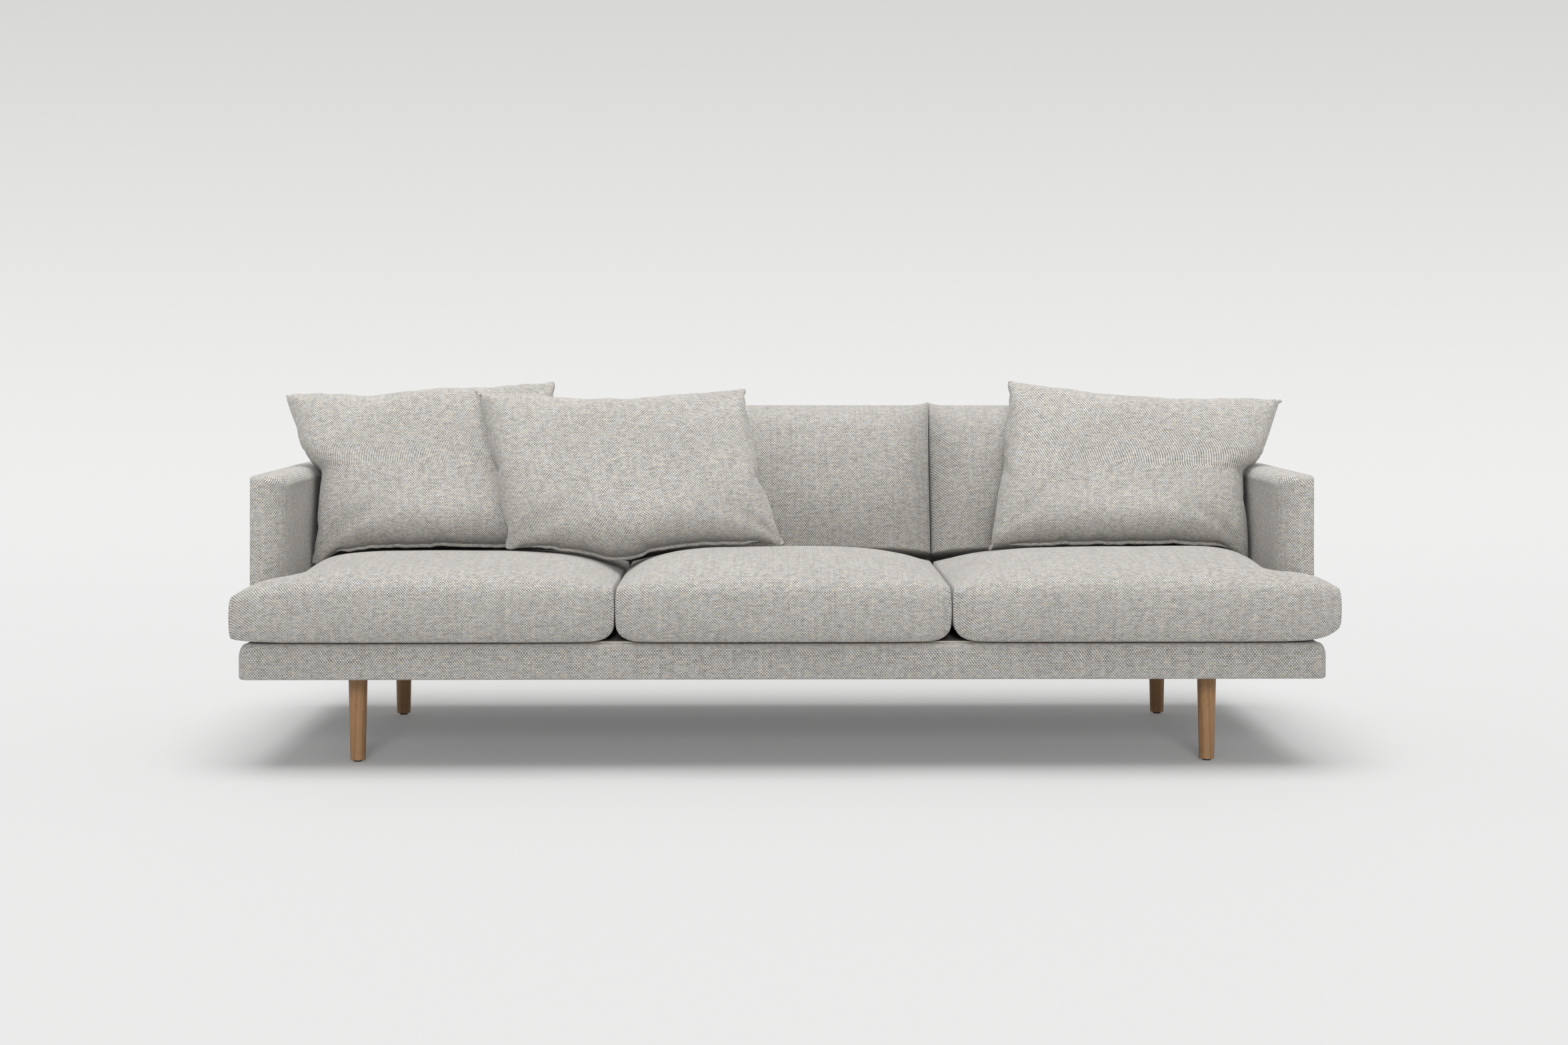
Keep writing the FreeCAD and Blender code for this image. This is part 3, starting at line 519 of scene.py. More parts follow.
def hand_over_cushion(piece, name):
    nodes = [f"{name}_cover", f"{name}_filling", f"{name}_zip"]
    hand_over(piece, f"{name}_cushion", nodes)


def points_of(piece):
    flat = np.empty(len(piece.data.vertices) * 3)
    piece.data.vertices.foreach_get("co", flat)
    return flat.reshape(-1, 3)


def put_points(piece, points):
    piece.data.vertices.foreach_set("co", np.asarray(points, np.float32).ravel())
    piece.data.update()


def blow_up(piece, pressure, frames):
    """Fills the cover with the cloth solver, and keeps the shape in the mesh."""
    filling = piece.modifiers.new("filling", "CLOTH")
    cloth = filling.settings
    cloth.quality = 5
    cloth.mass = 0.3
    cloth.tension_stiffness = cloth.compression_stiffness = 15
    cloth.shear_stiffness = 5
    cloth.bending_stiffness = 0.5
    cloth.air_damping = 1
    cloth.use_pressure = True
    cloth.uniform_pressure_force = pressure
    cloth.effector_weights.gravity = 0
    filling.collision_settings.use_collision = False
    scene = bpy.context.scene
    for step in range(1, frames + 1):
        scene.frame_set(step)
    filled = piece.evaluated_get(bpy.context.evaluated_depsgraph_get())
    moved = points_of(filled)
    piece.modifiers.remove(filling)
    scene.frame_set(1)
    put_points(piece, moved)


# ---- seat cushions
SEATS = {
    # side, near and far sides, ear, crown, upper and lower side seam,
    # upper and lower ear seam, how far the ear's slope reaches, sewing seed
    "left_seat": (-1, 0.3835, 1.1495, 1.2545, 0.4760, 0.416, 0.314,
                  0.396, 0.300, 0.070, 11.0),
    "centre_seat": (1, -0.3825, 0.3825, None, 0.4865, 0.416, 0.316,
                    0.416, 0.316, 0, 23.0),
    "right_seat": (1, 0.3835, 1.1495, 1.2670, 0.4850, 0.414, 0.320,
                   0.414, 0.322, 0.050, 37.0),
}
SEAT_INSET = 0.005        # how far a seat's seams stand in from its widest place
SEAT_BORDER = 12          # rows of points down a seat's border
SEAT_SLOPE = 0.075        # how soon a seat fills out, going in from a side seam
HAIR = 1e-6               # less than any real distance


def seat_ring(columns, rows, last, corner):
    """Row and column numbers round a seat's seam, starting along its front."""
    end = columns - 1
    ring = [(0, c) for c in range(columns)]
    ring += [(r, end) for r in range(1, corner + 1)]
    ring += [(corner, c) for c in range(end - 1, last - 1, -1)]
    ring += [(r, last) for r in range(corner + 1, rows)]
    ring += [(rows - 1, c) for c in range(last - 1, -1, -1)]
    return ring + [(r, 0) for r in range(rows - 2, 0, -1)]


def seat_border(cover, ring, side, A, Y, near_x, to_end, sheets, numbers):
    """Sews the border on, which bulges between its upper and lower seams."""
    (top, bottom), (top_numbers, bottom_numbers) = sheets, numbers
    rear_row = len(A) - 1
    plan = np.array([[A[p] * side, Y[p]] for p in ring])
    out = outward(plan) * side
    columns = []
    for (p, q), (out_x, out_y) in zip(ring, out):
        a, b = top[p, q], bottom[p, q]
        if p == 0:
            edge = min(A[p, q] - near_x, to_end[p, q])
            bulge = 0.006 + 0.0125 * float(swell(edge, 0.035))
        else:
            bulge = 0.003 if p == rear_row else 0.0045
        column = [top_numbers[p][q]]
        for t in np.linspace(1, -1, SEAT_BORDER + 1)[1:-1]:
            mid = b + (a - b) * (t + 1) / 2
            push = bulge * math.sqrt(1 - t * t)
            column += cover.add([(mid[0] + out_x * push, mid[1] + out_y * push, mid[2])])
        columns.append(column + [bottom_numbers[p][q]])
    around = lengths(np.vstack([plan, plan[:1]]))
    rows = range(SEAT_BORDER + 1)
    for k, here in enumerate(ring):
        n = (k + 1) % len(ring)
        if here[0] == 0 and ring[n][0] == 0:
            # The front and the top are one length of cloth, so the weave runs on.
            lay = []
            for place in (here, ring[n]):
                tall = (top[place] - bottom[place])[2] * 1.12
                lay.append([(A[place] * side, -tall * q / SEAT_BORDER) for q in rows])
        else:
            lay = [[(around[k + e], 3 + 0.11 * q / SEAT_BORDER) for q in rows]
                   for e in (0, 1)]
        cover.panel([columns[k], columns[n]], lay)


def seat_cover(name, shape, finish):
    """Boxed seat cushion with a soft front and, at the ends, an ear."""
    (side, near, far, ear, crown, seam_top, seam_low, ear_top, ear_low, ear_reach,
     seed) = SEATS[name]
    low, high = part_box(f"{name}_cover")
    front, rear = low.y + 0.018, high.y - 0.004
    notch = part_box("left_arm_cover")[0].y - 0.0005
    near_x, far_x = near + SEAT_INSET, far - SEAT_INSET
    across = steps(near_x, far_x, shape.pitch)
    last = len(across) - 1
    if ear:
        across = np.concatenate([across, steps(far_x, ear - SEAT_INSET, shape.pitch)[1:]])
    depth = steps(front, notch - SEAT_INSET, shape.pitch)
    corner = len(depth) - 1
    depth = np.concatenate([depth, steps(notch - SEAT_INSET, rear, shape.pitch)[1:]])
    A, Y = np.meshgrid(across, depth)
    top_line = line_through(depth, [-0.462, -0.44, -0.34, -0.2, -0.06, 0.111, 0.303],
                            [0.433, 0.4485, crown - 0.011, crown, crown - 0.013,
                             0.450, 0.389])
    Z = np.repeat(top_line[:, None], len(across), axis=1)
    from_near = A - near_x
    if ear:
        to_end = ear - SEAT_INSET - A
        to_notch = np.hypot(np.maximum(far_x - A, 0), np.maximum(notch - Y, 0))
        to_notch[(A > far_x) & (Y > notch - SEAT_INSET - HAIR)] = 0
        full = swell(from_near, SEAT_SLOPE) * swell(to_end, ear_reach)
        full = full * swell(to_notch, 0.034)
        share = np.clip((A - far_x + 0.30) / 0.40, 0, 1)
        nearest = np.minimum(from_near, np.minimum(to_end, to_notch))
        end_lift = swell(np.minimum(to_end, to_notch), 0.030)
    else:
        to_end = far_x - A
        full = swell(from_near, SEAT_SLOPE) * swell(to_end, SEAT_SLOPE)
        share = A * 0
        nearest = np.minimum(from_near, to_end)
        end_lift = swell(to_end, 0.013)
    seam_z = np.minimum(seam_top + (ear_top - seam_top) * share, Z - 0.020)
    rear_gap = rear - Y
    full = full * (0.55 + 0.45 * swell(rear_gap, 0.05))
    seam_rear = np.where(rear_gap < 0.12, np.minimum(seam_z, Z - 0.03), seam_z)
    X = A * side
    soft = shape.rumple * bumps(X, Y, seed, 5.5, 13)
    sewn = shape.pucker * pleats((A + Y) * 170, X, Y, seed)
    top_z = seam_rear + (Z - seam_rear) * full - 0.0015
    top_z = top_z + soft * np.minimum(full, swell(rear_gap, 0.04))
    top_z = top_z + sewn * np.exp(-np.abs(nearest) / 0.016)
    low_seam = seam_low + (ear_low - seam_low) * share
    # The underside is flat on the deck and lifts to the lower seam at its sides.
    lift = 1 - swell(from_near, 0.013) * end_lift
    bottom_z = low.z + (low_seam - low.z) * lift + 0.0004
    # The front draws back towards the cushion's sides, and the rear leans in below.
    bow = 0.020 * np.exp(-np.maximum(from_near, 0) / 0.05)
    bow += (0.012 if ear else 0.020) * np.exp(-np.maximum(to_end, 0) / 0.05)
    bow *= np.clip((-0.25 - Y) / 0.2, 0, 1)
    slope = np.clip((Y - 0.05) / (rear - 0.05), 0, 1) * 0.027
    top = np.dstack([X, Y + bow, top_z])
    bottom = np.dstack([X, Y + bow - slope, bottom_z])
    cover = Cover()
    # Behind the ear there is no cushion, only the arm.
    inside = (A <= far_x + HAIR) | (Y <= notch - SEAT_INSET + HAIR)
    numbers = [[[cover.add([point])[0] if kept else None
                 for point, kept in zip(*row)] for row in zip(sheet, inside)]
               for sheet in (top, bottom)]
    run = lengths(np.column_stack([depth, top_line]))
    for rows, places in zip(numbers, (run, depth)):
        cover.panel(rows, [[(x * side, v) for x in across] for v in places])
    ring = seat_ring(len(across), len(depth), last, corner)
    seat_border(cover, ring, side, A, Y, near_x, to_end, (top, bottom), numbers)
    return soften(cover.piece(f"{name}_cushion", finish))


# ---- back cushions
BACK_LEAN = math.radians(17)
BACK_CUSHIONS = {"left_back": 101, "centre_back": 114, "right_back": 127}   # sewing seeds
BACK_SHOULDER = 0.300     # height up the slope where a back cushion starts to close
BACK_FRONT, BACK_REAR = 0.144, 0.104     # fullness before and behind its seams


def pillow(cover, front, rear, lay_front, lay_rear, joined_low=True):
    """Two sheets sewn together along their sides, top and perhaps bottom."""
    last_row, last_column = len(front) - 1, len(front[0]) - 1
    front_numbers = cover.grid(front)
    rear_numbers = []
    for r, numbers in enumerate(front_numbers):
        row = []
        for c, number in enumerate(numbers):
            sewn = c in (0, last_column) or r == last_row or (r == 0 and joined_low)
            row.append(number if sewn else cover.add([rear[r][c]])[0])
        rear_numbers.append(row)
    cover.panel(front_numbers, lay_front)
    cover.panel(rear_numbers, lay_rear)
    return front_numbers, rear_numbers


def back_cover(name, shape, finish):
    """Back cushion with a full front, sewn thin at its sides and top."""
    seed = BACK_CUSHIONS[name]
    low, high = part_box(f"{name}_cover")
    tape_low, tape_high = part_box(f"{name}_zip")
    foot_y, foot_z = (tape_low.y + tape_high.y) / 2 - 0.004, tape_low.z + 0.002
    tall = (high.z - foot_z) / math.cos(BACK_LEAN)
    across = steps(low.x + 0.0002, high.x - 0.0002, shape.pitch, (0.0008, 0.004, 0.010))
    up = steps(0, tall, shape.pitch)
    X, U = np.meshgrid(across, up)
    edge = np.minimum(X - across[0], across[-1] - X)
    rounding = np.clip(U - BACK_SHOULDER, 0, None) / (tall - BACK_SHOULDER)
    closing = np.sqrt(np.clip(1 - rounding ** 2, 0, 1))
    belly = line_through(up, [0, 0.06, 0.12, 0.22, 0.31, tall],
                         [0.70, 0.87, 0.975, 1.0, 0.90, 0.74])[:, None]
    # The sides are boxed: a steep wall at the seam, then a slow swell.
    sides = 0.30 * swell(edge, 0.0006) + 0.70 * swell(edge, 0.045)
    sides = sides * (1 - 0.10 * np.exp(-edge / 0.15))
    soft = shape.rumple * 1.6 * bumps(X, U, seed, 6.0, 14)
    sewn = shape.pucker * 1.4 * pleats((X + U) * 150, X, U, seed)
    crease = np.exp(-np.minimum(edge, tall - U) / 0.018)
    deep = BACK_FRONT * sides * belly * closing
    deep = deep + (soft - 0.002) * sides * closing
    deep = deep + sewn * crease * swell(edge, 0.01) * closing
    flat = line_through(up, [0, 0.022, 0.16, 0.26, tall], [0.88, 0.985, 1.0, 0.98, 0.80])
    behind = BACK_REAR * np.minimum(1, sides * 1.05) * flat[:, None] * closing
    # The top corners stand up a little, and the top edge dips beside them.
    peak = 0.007 * np.exp(-edge / 0.016) - 0.005 * (1 - np.exp(-edge / 0.05))
    raised = U + peak * (U / tall) ** 6

    def placed(depth):
        y = foot_y + raised * math.sin(BACK_LEAN) + depth * math.cos(BACK_LEAN)
        z = foot_z + raised * math.cos(BACK_LEAN) - depth * math.sin(BACK_LEAN)
        return np.dstack([X, y, z])

    cover = Cover()
    run = lengths(np.column_stack([up, deep[:, len(across) // 2]]))
    front, rear = placed(-deep), placed(behind)
    front_numbers, rear_numbers = pillow(
        cover, front, rear, [[(x, v) for x in across] for v in run],
        [[(x, 2 - v) for x in across] for v in run], joined_low=False)
    # A border strip, which sags a little, closes the foot of the cushion.
    strip, lay = [front_numbers[0]], [[(x, 0) for x in across]]
    strip_rows = 9
    for k in range(1, strip_rows):
        share = k / strip_rows
        sag = 0.003 * math.sin(math.pi * share)
        row = []
        for c in range(len(across)):
            if c in (0, len(across) - 1):
                row.append(front_numbers[0][c])
                continue
            at = front[0][c] * (1 - share) + rear[0][c] * share
            row += cover.add([(at[0], at[1], at[2] - sag * sides[0, c])])
        strip.append(row)
        lay.append([(x, -0.2 * share) for x in across])
    strip.append(rear_numbers[0])
    lay.append([(x, -0.2) for x in across])
    cover.panel(strip, lay)
    return soften(cover.piece(f"{name}_cushion", finish))


# ---- scatter cushions
SCATTERS = {
    # foot's outer and inner corner, head's outer and inner corner,
    # how far the head's outer and inner corners are lifted, sewing seed, then
    # the dip of the head's edge: how deep, where along it and how wide
    "left_scatter": (-1.149, -0.498, -1.262, -0.574, -0.012, 0.014, 51.0,
                     0.014, 0.34, 0.13),
    "right_scatter": (1.149, 0.498, 1.269, 0.574, -0.024, 0.015, 67.0,
                      0.012, 0.44, 0.20),
    "centre_scatter": (-0.662, 0.006, -0.766, -0.091, -0.010, -0.010, 83.0,
                       0.029, 0.48, 0.28),
}
SCATTER_LEAN = math.radians(24)
SCATTER_PITCH = 0.0115    # distance between points of a flat sheet
SCATTER_FRONT, SCATTER_REAR = 0.088, 0.078     # fullness before and behind its seam
SCATTER_HOLLOW = 0.40     # share of the filled cover's drawn-in sides that is kept
PRESSURE = 4.0            # how hard the filling pushes
DECK_HEIGHT = 0.30        # what a place beside the seats counts as


def scatter_sheet(shape, seed):
    """Two flat sheets sewn together, ready to be filled."""
    wide, tall = shape.scatter_width, shape.scatter_height
    columns, rows = int(wide / SCATTER_PITCH), int(tall / SCATTER_PITCH)
    across, up = np.linspace(0, wide, columns + 1), np.linspace(0, tall, rows + 1)
    X, U = np.meshgrid(across, up)
    edge = np.minimum(np.minimum(X, wide - X), np.minimum(U, tall - U))
    thick = 0.012 * swell(edge, 0.05)
    ripple = 0.0008 * uneven(X, U, seed, 22)
    cover = Cover()
    lay = np.dstack([X, U])
    pillow(cover, np.dstack([X, ripple - thick, U]), np.dstack([X, ripple + thick, U]),
           lay, lay + 2.0)
    return cover


def eased(across, along):
    """Fills out sides that the blown-up cover draws in too far."""
    drawn = across[np.abs(along - 0.5) < 0.04].min()
    wider = (0.5 - SCATTER_HOLLOW * drawn) / (0.5 - drawn)
    return 0.5 + (across - 0.5) * (1 + (wider - 1) * (1 - (2 * along - 1) ** 2))


def seat_height():
    """Gives back a function for the height of the seat cushions at a place."""
    trees = []
    for name in SEATS:
        mesh = bpy.data.objects[f"{name}_cushion"].data
        trees.append(BVHTree.FromPolygons([v.co for v in mesh.vertices],
                                          [p.vertices for p in mesh.polygons]))

    def height(x, y):
        above, down = Vector((x, y, 0.75)), Vector((0, 0, -1))
        hits = [tree.ray_cast(above, down)[0] for tree in trees]
        return max([hit.z for hit in hits if hit] or [DECK_HEIGHT])

    return height


def filled_shape(piece, shape):
    """Fills the flat cover, and gives back shares across, up and through it."""
    blow_up(piece, PRESSURE, shape.scatter_frames)
    soft = points_of(piece)
    low, high = soft.min(axis=0), soft.max(axis=0)
    s = (soft[:, 0] - low[0]) / (high[0] - low[0])
    t = (soft[:, 2] - low[2]) / (high[2] - low[2])
    depth = soft[:, 1] - (high[1] + low[1]) / 2
    return eased(s, t), eased(t, s), depth / np.abs(depth).max()


def scatter_cover(name, shape, finish):
    """Scatter cushion blown up from flat cloth, then set against the back."""
    (foot_out, foot_in, head_out, head_in, lift_out, lift_in, seed, dip, dip_place,
     dip_width) = SCATTERS[name]
    made = scatter_sheet(shape, seed).piece(f"{name}_cushion", finish)
    s, t, depth = filled_shape(made, shape)
    low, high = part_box(f"{name}_cover")
    tape_low, tape_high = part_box(f"{name}_zip")
    in_middle = name == "centre_scatter"
    if in_middle:
        outer = foot_out + (head_out - foot_out) * t
    else:
        # The outer edge stands up along the arm, then leans out over its top.
        outer = foot_out + (head_out - foot_out) * line_through(
            t, [-0.1, 0.46, 0.53, 0.59, 0.66, 0.75, 1.0],
            [0, 0, 0.26, 0.47, 0.57, 0.67, 1.0])
    inner = foot_in + (head_in - foot_in) * t
    if foot_out > foot_in:
        s = 1 - s
    x = outer + (inner - outer) * s
    # The head's edge is lifted at its corners, dips between them and is never straight.
    lift = (lift_out + (lift_in - lift_out) * s) * t
    lift -= 0.004 * (1 - (2 * s - 1) ** 4) * t ** 5
    lift -= dip * np.exp(-((s - dip_place) / dip_width) ** 2) * t ** 5
    lift += (0.006 * uneven(s, t * 0 + seed, seed, 4.0)
             + 0.004 * uneven(s, t * 0 + seed, seed + 5, 11.0)) * t ** 4
    through = (SCATTER_FRONT * np.minimum(depth, 0)
               + SCATTER_REAR * np.maximum(depth, 0) ** 1.25)
    # Slack folds run in from the lower corners.
    for corner, slope, deep in ((s, 0.55, 0.30), (1 - s, 0.75, 0.24)):
        along, above = corner * 0.68, t * 0.48
        reach, tilt = np.hypot(along, above), np.arctan2(above, along)
        fold = np.exp(-((tilt - slope) / 0.16) ** 2) * np.exp(-reach / 0.10)
        through = through * (1 - deep * fold * swell(reach, 0.02))
    u = (high.z - low.z) / math.cos(SCATTER_LEAN) * t
    foot_y, foot_z = tape_low.y + 0.0034 + 0 * x, low.z + 0.001
    if in_middle:
        turn = (tape_high.y - tape_low.y - 0.0076) / (tape_high.x - tape_low.x)
        foot_y = foot_y + (x - tape_low.x) * turn
    lean_y, lean_z = math.sin(SCATTER_LEAN), math.cos(SCATTER_LEAN)
    y = foot_y + u * lean_y + through * lean_z
    z = foot_z + u * lean_z - through * lean_y
    z = z + lift - 0.016 * np.abs(depth) * np.sin(np.pi * np.clip(t * 1.1, 0, 1))
    # The lower edge droops on to the seat, and nothing sinks into it.
    height = seat_height()
    ground = np.array([height(p, q) for p, q in zip(x, foot_y)])
    drop = np.clip(ground + 0.003 - foot_z, -0.045, 0.006)
    z = z + drop * np.clip(1 - t / 0.5, 0, 1) ** 1.6
    below = np.array([height(p, q) for p, q in zip(x, y)])
    put_points(made, np.column_stack([x, y, np.maximum(z, below + 0.002)]))
    soften(made)
    return made, placket(name, made, shape, height, finish)


def placket(name, cushion, shape, height, finish):
    """Lip of cloth over the zip, along a scatter cushion's lower seam."""
    columns = int(shape.scatter_width / SCATTER_PITCH)
    margin = columns // 10
    seam = points_of(cushion)[margin:columns + 1 - margin]
    section = np.array([(-0.001, 0.001), (-0.005, -0.001), (-0.0065, -0.005),
                        (-0.004, -0.009), (0.001, -0.0085), (0.002, -0.003)])
    cover = Cover()
    loops = []
    for k, place in enumerate(seam):
        thin = min(1.0, (min(k, len(seam) - 1 - k) + 0.5) / 4)
        points = [(place[0], place[1] + dy * thin, place[2] + dz * thin)
                  for dy, dz in section]
        points = [(x, y, max(z, height(x, y) + 0.0012)) for x, y, z in points]
        loops.append(cover.loop(points))
    run = lengths(seam)
    cover.panel(loops, [[(d, 4 + 0.004 * q) for q in range(len(section) + 1)] for d in run])
    for loop in (loops[0], loops[-1]):
        cover.faces.append(loop[:-1])
        cover.lays.append([(0.001 * q, 4.1) for q in range(len(section))])
    return soften(cover.piece(f"{name}_placket", finish, creased=False))


# ---- base, arms and back
def quarter(steps_in_turn, first=0):
    """Sine and cosine of the steps of a quarter turn."""
    angles = [k / steps_in_turn * math.pi / 2 for k in range(first, steps_in_turn + 1)]
    return [(math.sin(angle), math.cos(angle)) for angle in angles]


def rounded_outline(corners, pitch):
    """Closed plan outline: each corner is x, y, radius."""
    points = []
    for k, (x, y, radius) in enumerate(corners):
        here = Vector((x, y))
        before = Vector(corners[k - 1][:2]) - here
        after = Vector(corners[(k + 1) % len(corners)][:2]) - here
        before.normalize()
        after.normalize()
        start, end = here + before * radius, here + after * radius
        centre = here + (before + after) * radius
        points += [centre + (start - centre) * cosine + (end - centre) * sine
                   for sine, cosine in quarter(8)]
    full = []
    for point, after in zip(points, points[1:] + points[:1]):
        parts = max(1, int((after - point).length / pitch))
        full += [point.lerp(after, q / parts) for q in range(parts)]
    return np.array([tuple(p) for p in full])


def outward(outline):
    """Unit normals of a closed outline that runs anticlockwise."""
    turn = np.roll(outline, -1, 0) - np.roll(outline, 1, 0)
    out = np.column_stack([turn[:, 1], -turn[:, 0]])
    return out / np.linalg.norm(out, axis=1, keepdims=True)


def banded(cover, outline, rings):
    """Rings of cloth round an outline: each ring gives inset and height."""
    out = outward(outline)
    around = lengths(np.vstack([outline, outline[:1]]))
    numbers = []
    for inset, height in rings:
        place = outline - out * np.reshape(inset, (-1, 1))
        level = np.broadcast_to(height, len(outline))
        numbers.append(cover.loop(np.column_stack([place, level])))
    run = lengths([(np.mean(inset), np.mean(height)) for inset, height in rings])
    cover.panel(numbers, [[(d, h) for d in around] for h in run])
    return numbers


def base_piece(finish):
    """Tweed wrapped over the base frame and turned in above and below."""
    low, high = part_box("base_cover")
    radius = 0.024
    outline = rounded_outline([(low.x, low.y, radius), (high.x, low.y, radius),
                               (high.x, high.y, radius), (low.x, high.y, radius)], 0.02)
    sideways = np.abs(outward(outline)[:, 0]) ** 2
    # The base is rounded more at its ends than along its front.
    end = np.clip((np.abs(outline[:, 0]) - (high.x - 0.03)) / 0.03, 0, 1) * sideways
    rings = [(0.020, low.z + 0.0004), (0.010, low.z)]
    r = 0.005 + 0.001 * end
    rings += [(r * (1 - sine), low.z + r * (1 - cosine)) for sine, cosine in quarter(6)]
    rings += [(0, low.z + 0.012 + share * 0.036) for share in (0.25, 0.5, 0.75)]
    r, tall = 0.009 + 0.015 * end, 0.012 + 0.020 * end
    rings += [(r * (1 - cosine), high.z - tall * (1 - sine)) for sine, cosine in quarter(8)]
    rings.append((0.030, high.z))
    cover = Cover()
    banded(cover, outline, rings)
    # The cloth closes the base's top in front of each arm.
    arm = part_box("right_arm_cover")[0]
    across = np.linspace(arm.x - 0.030, high.x - 0.028, 6)
    depth = np.linspace(low.y + 0.028, arm.y + 0.040, 6)
    for side in (-1, 1):
        X, Y = np.meshgrid(across * side, depth)
        cover.panel(cover.grid(np.dstack([X, Y, Y * 0 + high.z + 0.0003])),
                    np.dstack([X, Y]))
    made = soften(cover.piece("base_upholstery", finish))
    hand_over(made, "frame", ["base_cover"])


def arm_piece(hand, side, finish):
    """Padded arm with a soft inner front corner and crisp outer edges."""
    low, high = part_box(f"{hand}_arm_cover")
    inner, outer = sorted((abs(low.x), abs(high.x)))
    pitch, crisp = 0.014, 0.010
    outline = rounded_outline([(inner, low.y, 0.068), (outer, low.y, crisp),
                               (outer, high.y, crisp), (inner, high.y, crisp)], pitch)
    out = outward(outline)
    inward = np.clip((outer - outline[:, 0]) / (outer - inner), 0, 1)
    inner_soft = inward * np.clip((high.y - 0.02 - outline[:, 1]) / 0.05, 0, 1)
    front_soft = (0.75 * np.clip(-out[:, 1], 0, 1)
                  * np.clip((outer - 0.012 - outline[:, 0]) / 0.03, 0, 1))
    soft = np.maximum(inner_soft, front_soft)
    radius, tall = crisp + 0.020 * soft, crisp + 0.022 * soft
    cover = Cover()
    rings = []
    inner_face = (np.abs(out[:, 0]) > 0.9) & (inward > 0.5)
    for share in np.linspace(0, 1, 26):
        height = low.z + share * (high.z - 0.030 - low.z)
        pad = 0.0012 * uneven(outline[:, 1], outline[:, 0] * 0 + height, 5 + side, 9)
        rings.append((np.where(inner_face, 0.001, 0) + np.abs(pad), height))
    rings += [(radius * (1 - cosine), high.z - tall * (1 - sine) - 0.0012)
              for sine, cosine in quarter(8, 1)]
    edge = banded(cover, outline, rings)[-1]
    # The top closes on a line along the middle of the arm.
    rim = np.array([cover.points[n] for n in edge[:-1]])
    spine = np.column_stack([np.full(len(rim), (inner + outer) / 2),
                             np.clip(rim[:, 1], low.y + 0.045, high.y - 0.041),
                             np.full(len(rim), high.z)])
    rows, flats = [edge], [rim]
    for share in (0.35, 0.7):
        flats.append(rim + (spine - rim) * share)
        rows.append(cover.loop(flats[-1]))
    welded, row = {}, []
    for place in spine:
        spot = round(place[1] / pitch)
        if spot not in welded:
            welded[spot] = cover.add([place])[0]
        row.append(welded[spot])
    rows.append(row + row[:1])
    flats.append(spine)
    cover.panel(rows, [[(p[0], p[1]) for p in (*ring, ring[0])] for ring in flats])
    if side < 0:
        cover.points = [(-x, y, z) for x, y, z in cover.points]
    made = soften(cover.piece(f"{hand}_arm_upholstery", finish, creased=False))
    hand_over(made, "frame", [f"{hand}_arm_cover", f"{hand}_arm_padding"])


def back_piece(finish):
    """Upholstered back between the arms, sloping inside and upright behind."""
    low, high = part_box("back_cover")
    top_depth, radius = 0.088, 0.024
    turned = high.z - radius

    def inner_y(z):
        return high.y - top_depth - (high.z - z) * math.tan(BACK_LEAN)

    middle = inner_y(turned) + radius
    round_top = quarter(7, 1)
    profile = [(inner_y(z), z) for z in np.linspace(low.z, turned, 24)]
    profile += [(middle - radius * cosine, turned + radius * sine)
                for sine, cosine in round_top]
    profile += [(y, high.z) for y in np.linspace(middle, high.y - radius, 6)[1:]]
    profile += [(high.y - radius + radius * sine, turned + radius * cosine)
                for sine, cosine in round_top]
    profile += [(high.y, z) for z in np.linspace(turned, low.z, 24)[1:]]
    profile = np.array(profile)
    across = steps(low.x, high.x, 0.02)
    X, Y = np.meshgrid(across, profile[:, 0])
    Z = np.repeat(profile[:, 1][:, None], len(across), axis=1)
    sag = np.abs(0.0015 * uneven(X, Z, 91, 4))
    Y = Y - np.where(Y > high.y - 0.001, sag, 0)
    Z = Z - np.where(Z > high.z - 0.004, sag, 0)
    cover = Cover()
    numbers = cover.grid(np.dstack([X, Y, Z]))
    cover.panel(numbers, [[(x, v) for x in across] for v in lengths(profile)])
    cover.panel([numbers[0], numbers[-1]], [[(x, v) for x in across] for v in (5, 5.2)])
    for c in (0, -1):
        column = [row[c] for row in numbers]
        cover.faces.append(column)
        cover.lays.append([cover.points[n][1:] for n in column])
    made = cover.piece("back_upholstery", finish)
    edges = made.modifiers.new("edges", "EDGE_SPLIT")
    edges.split_angle = math.radians(50)
    hand_over(made, "frame", ["back_cover", "back_padding"])


# ---- operators
SLOTS = {
    # what each of the frame's own parts is made of, by its name or its last word
    "leg_glides": "glide_nylon", "hanger_bolts": "zinc_steel",
    "frame_bolts": "zinc_steel", "leg_inserts": "zinc_steel",
    "leg_plates": "zinc_steel", "dust_cover": "dust_cloth",
    "deck_cover": "deck_cloth", "deck_pad": "padding",
    "seat_webbing": "elastic_webbing", "back_webbing": "elastic_webbing",
    "leg": "leg_wood", "zip": "zip_tape", "filling": "padding",
    "padding": "padding", "cover": "upholstery",
}


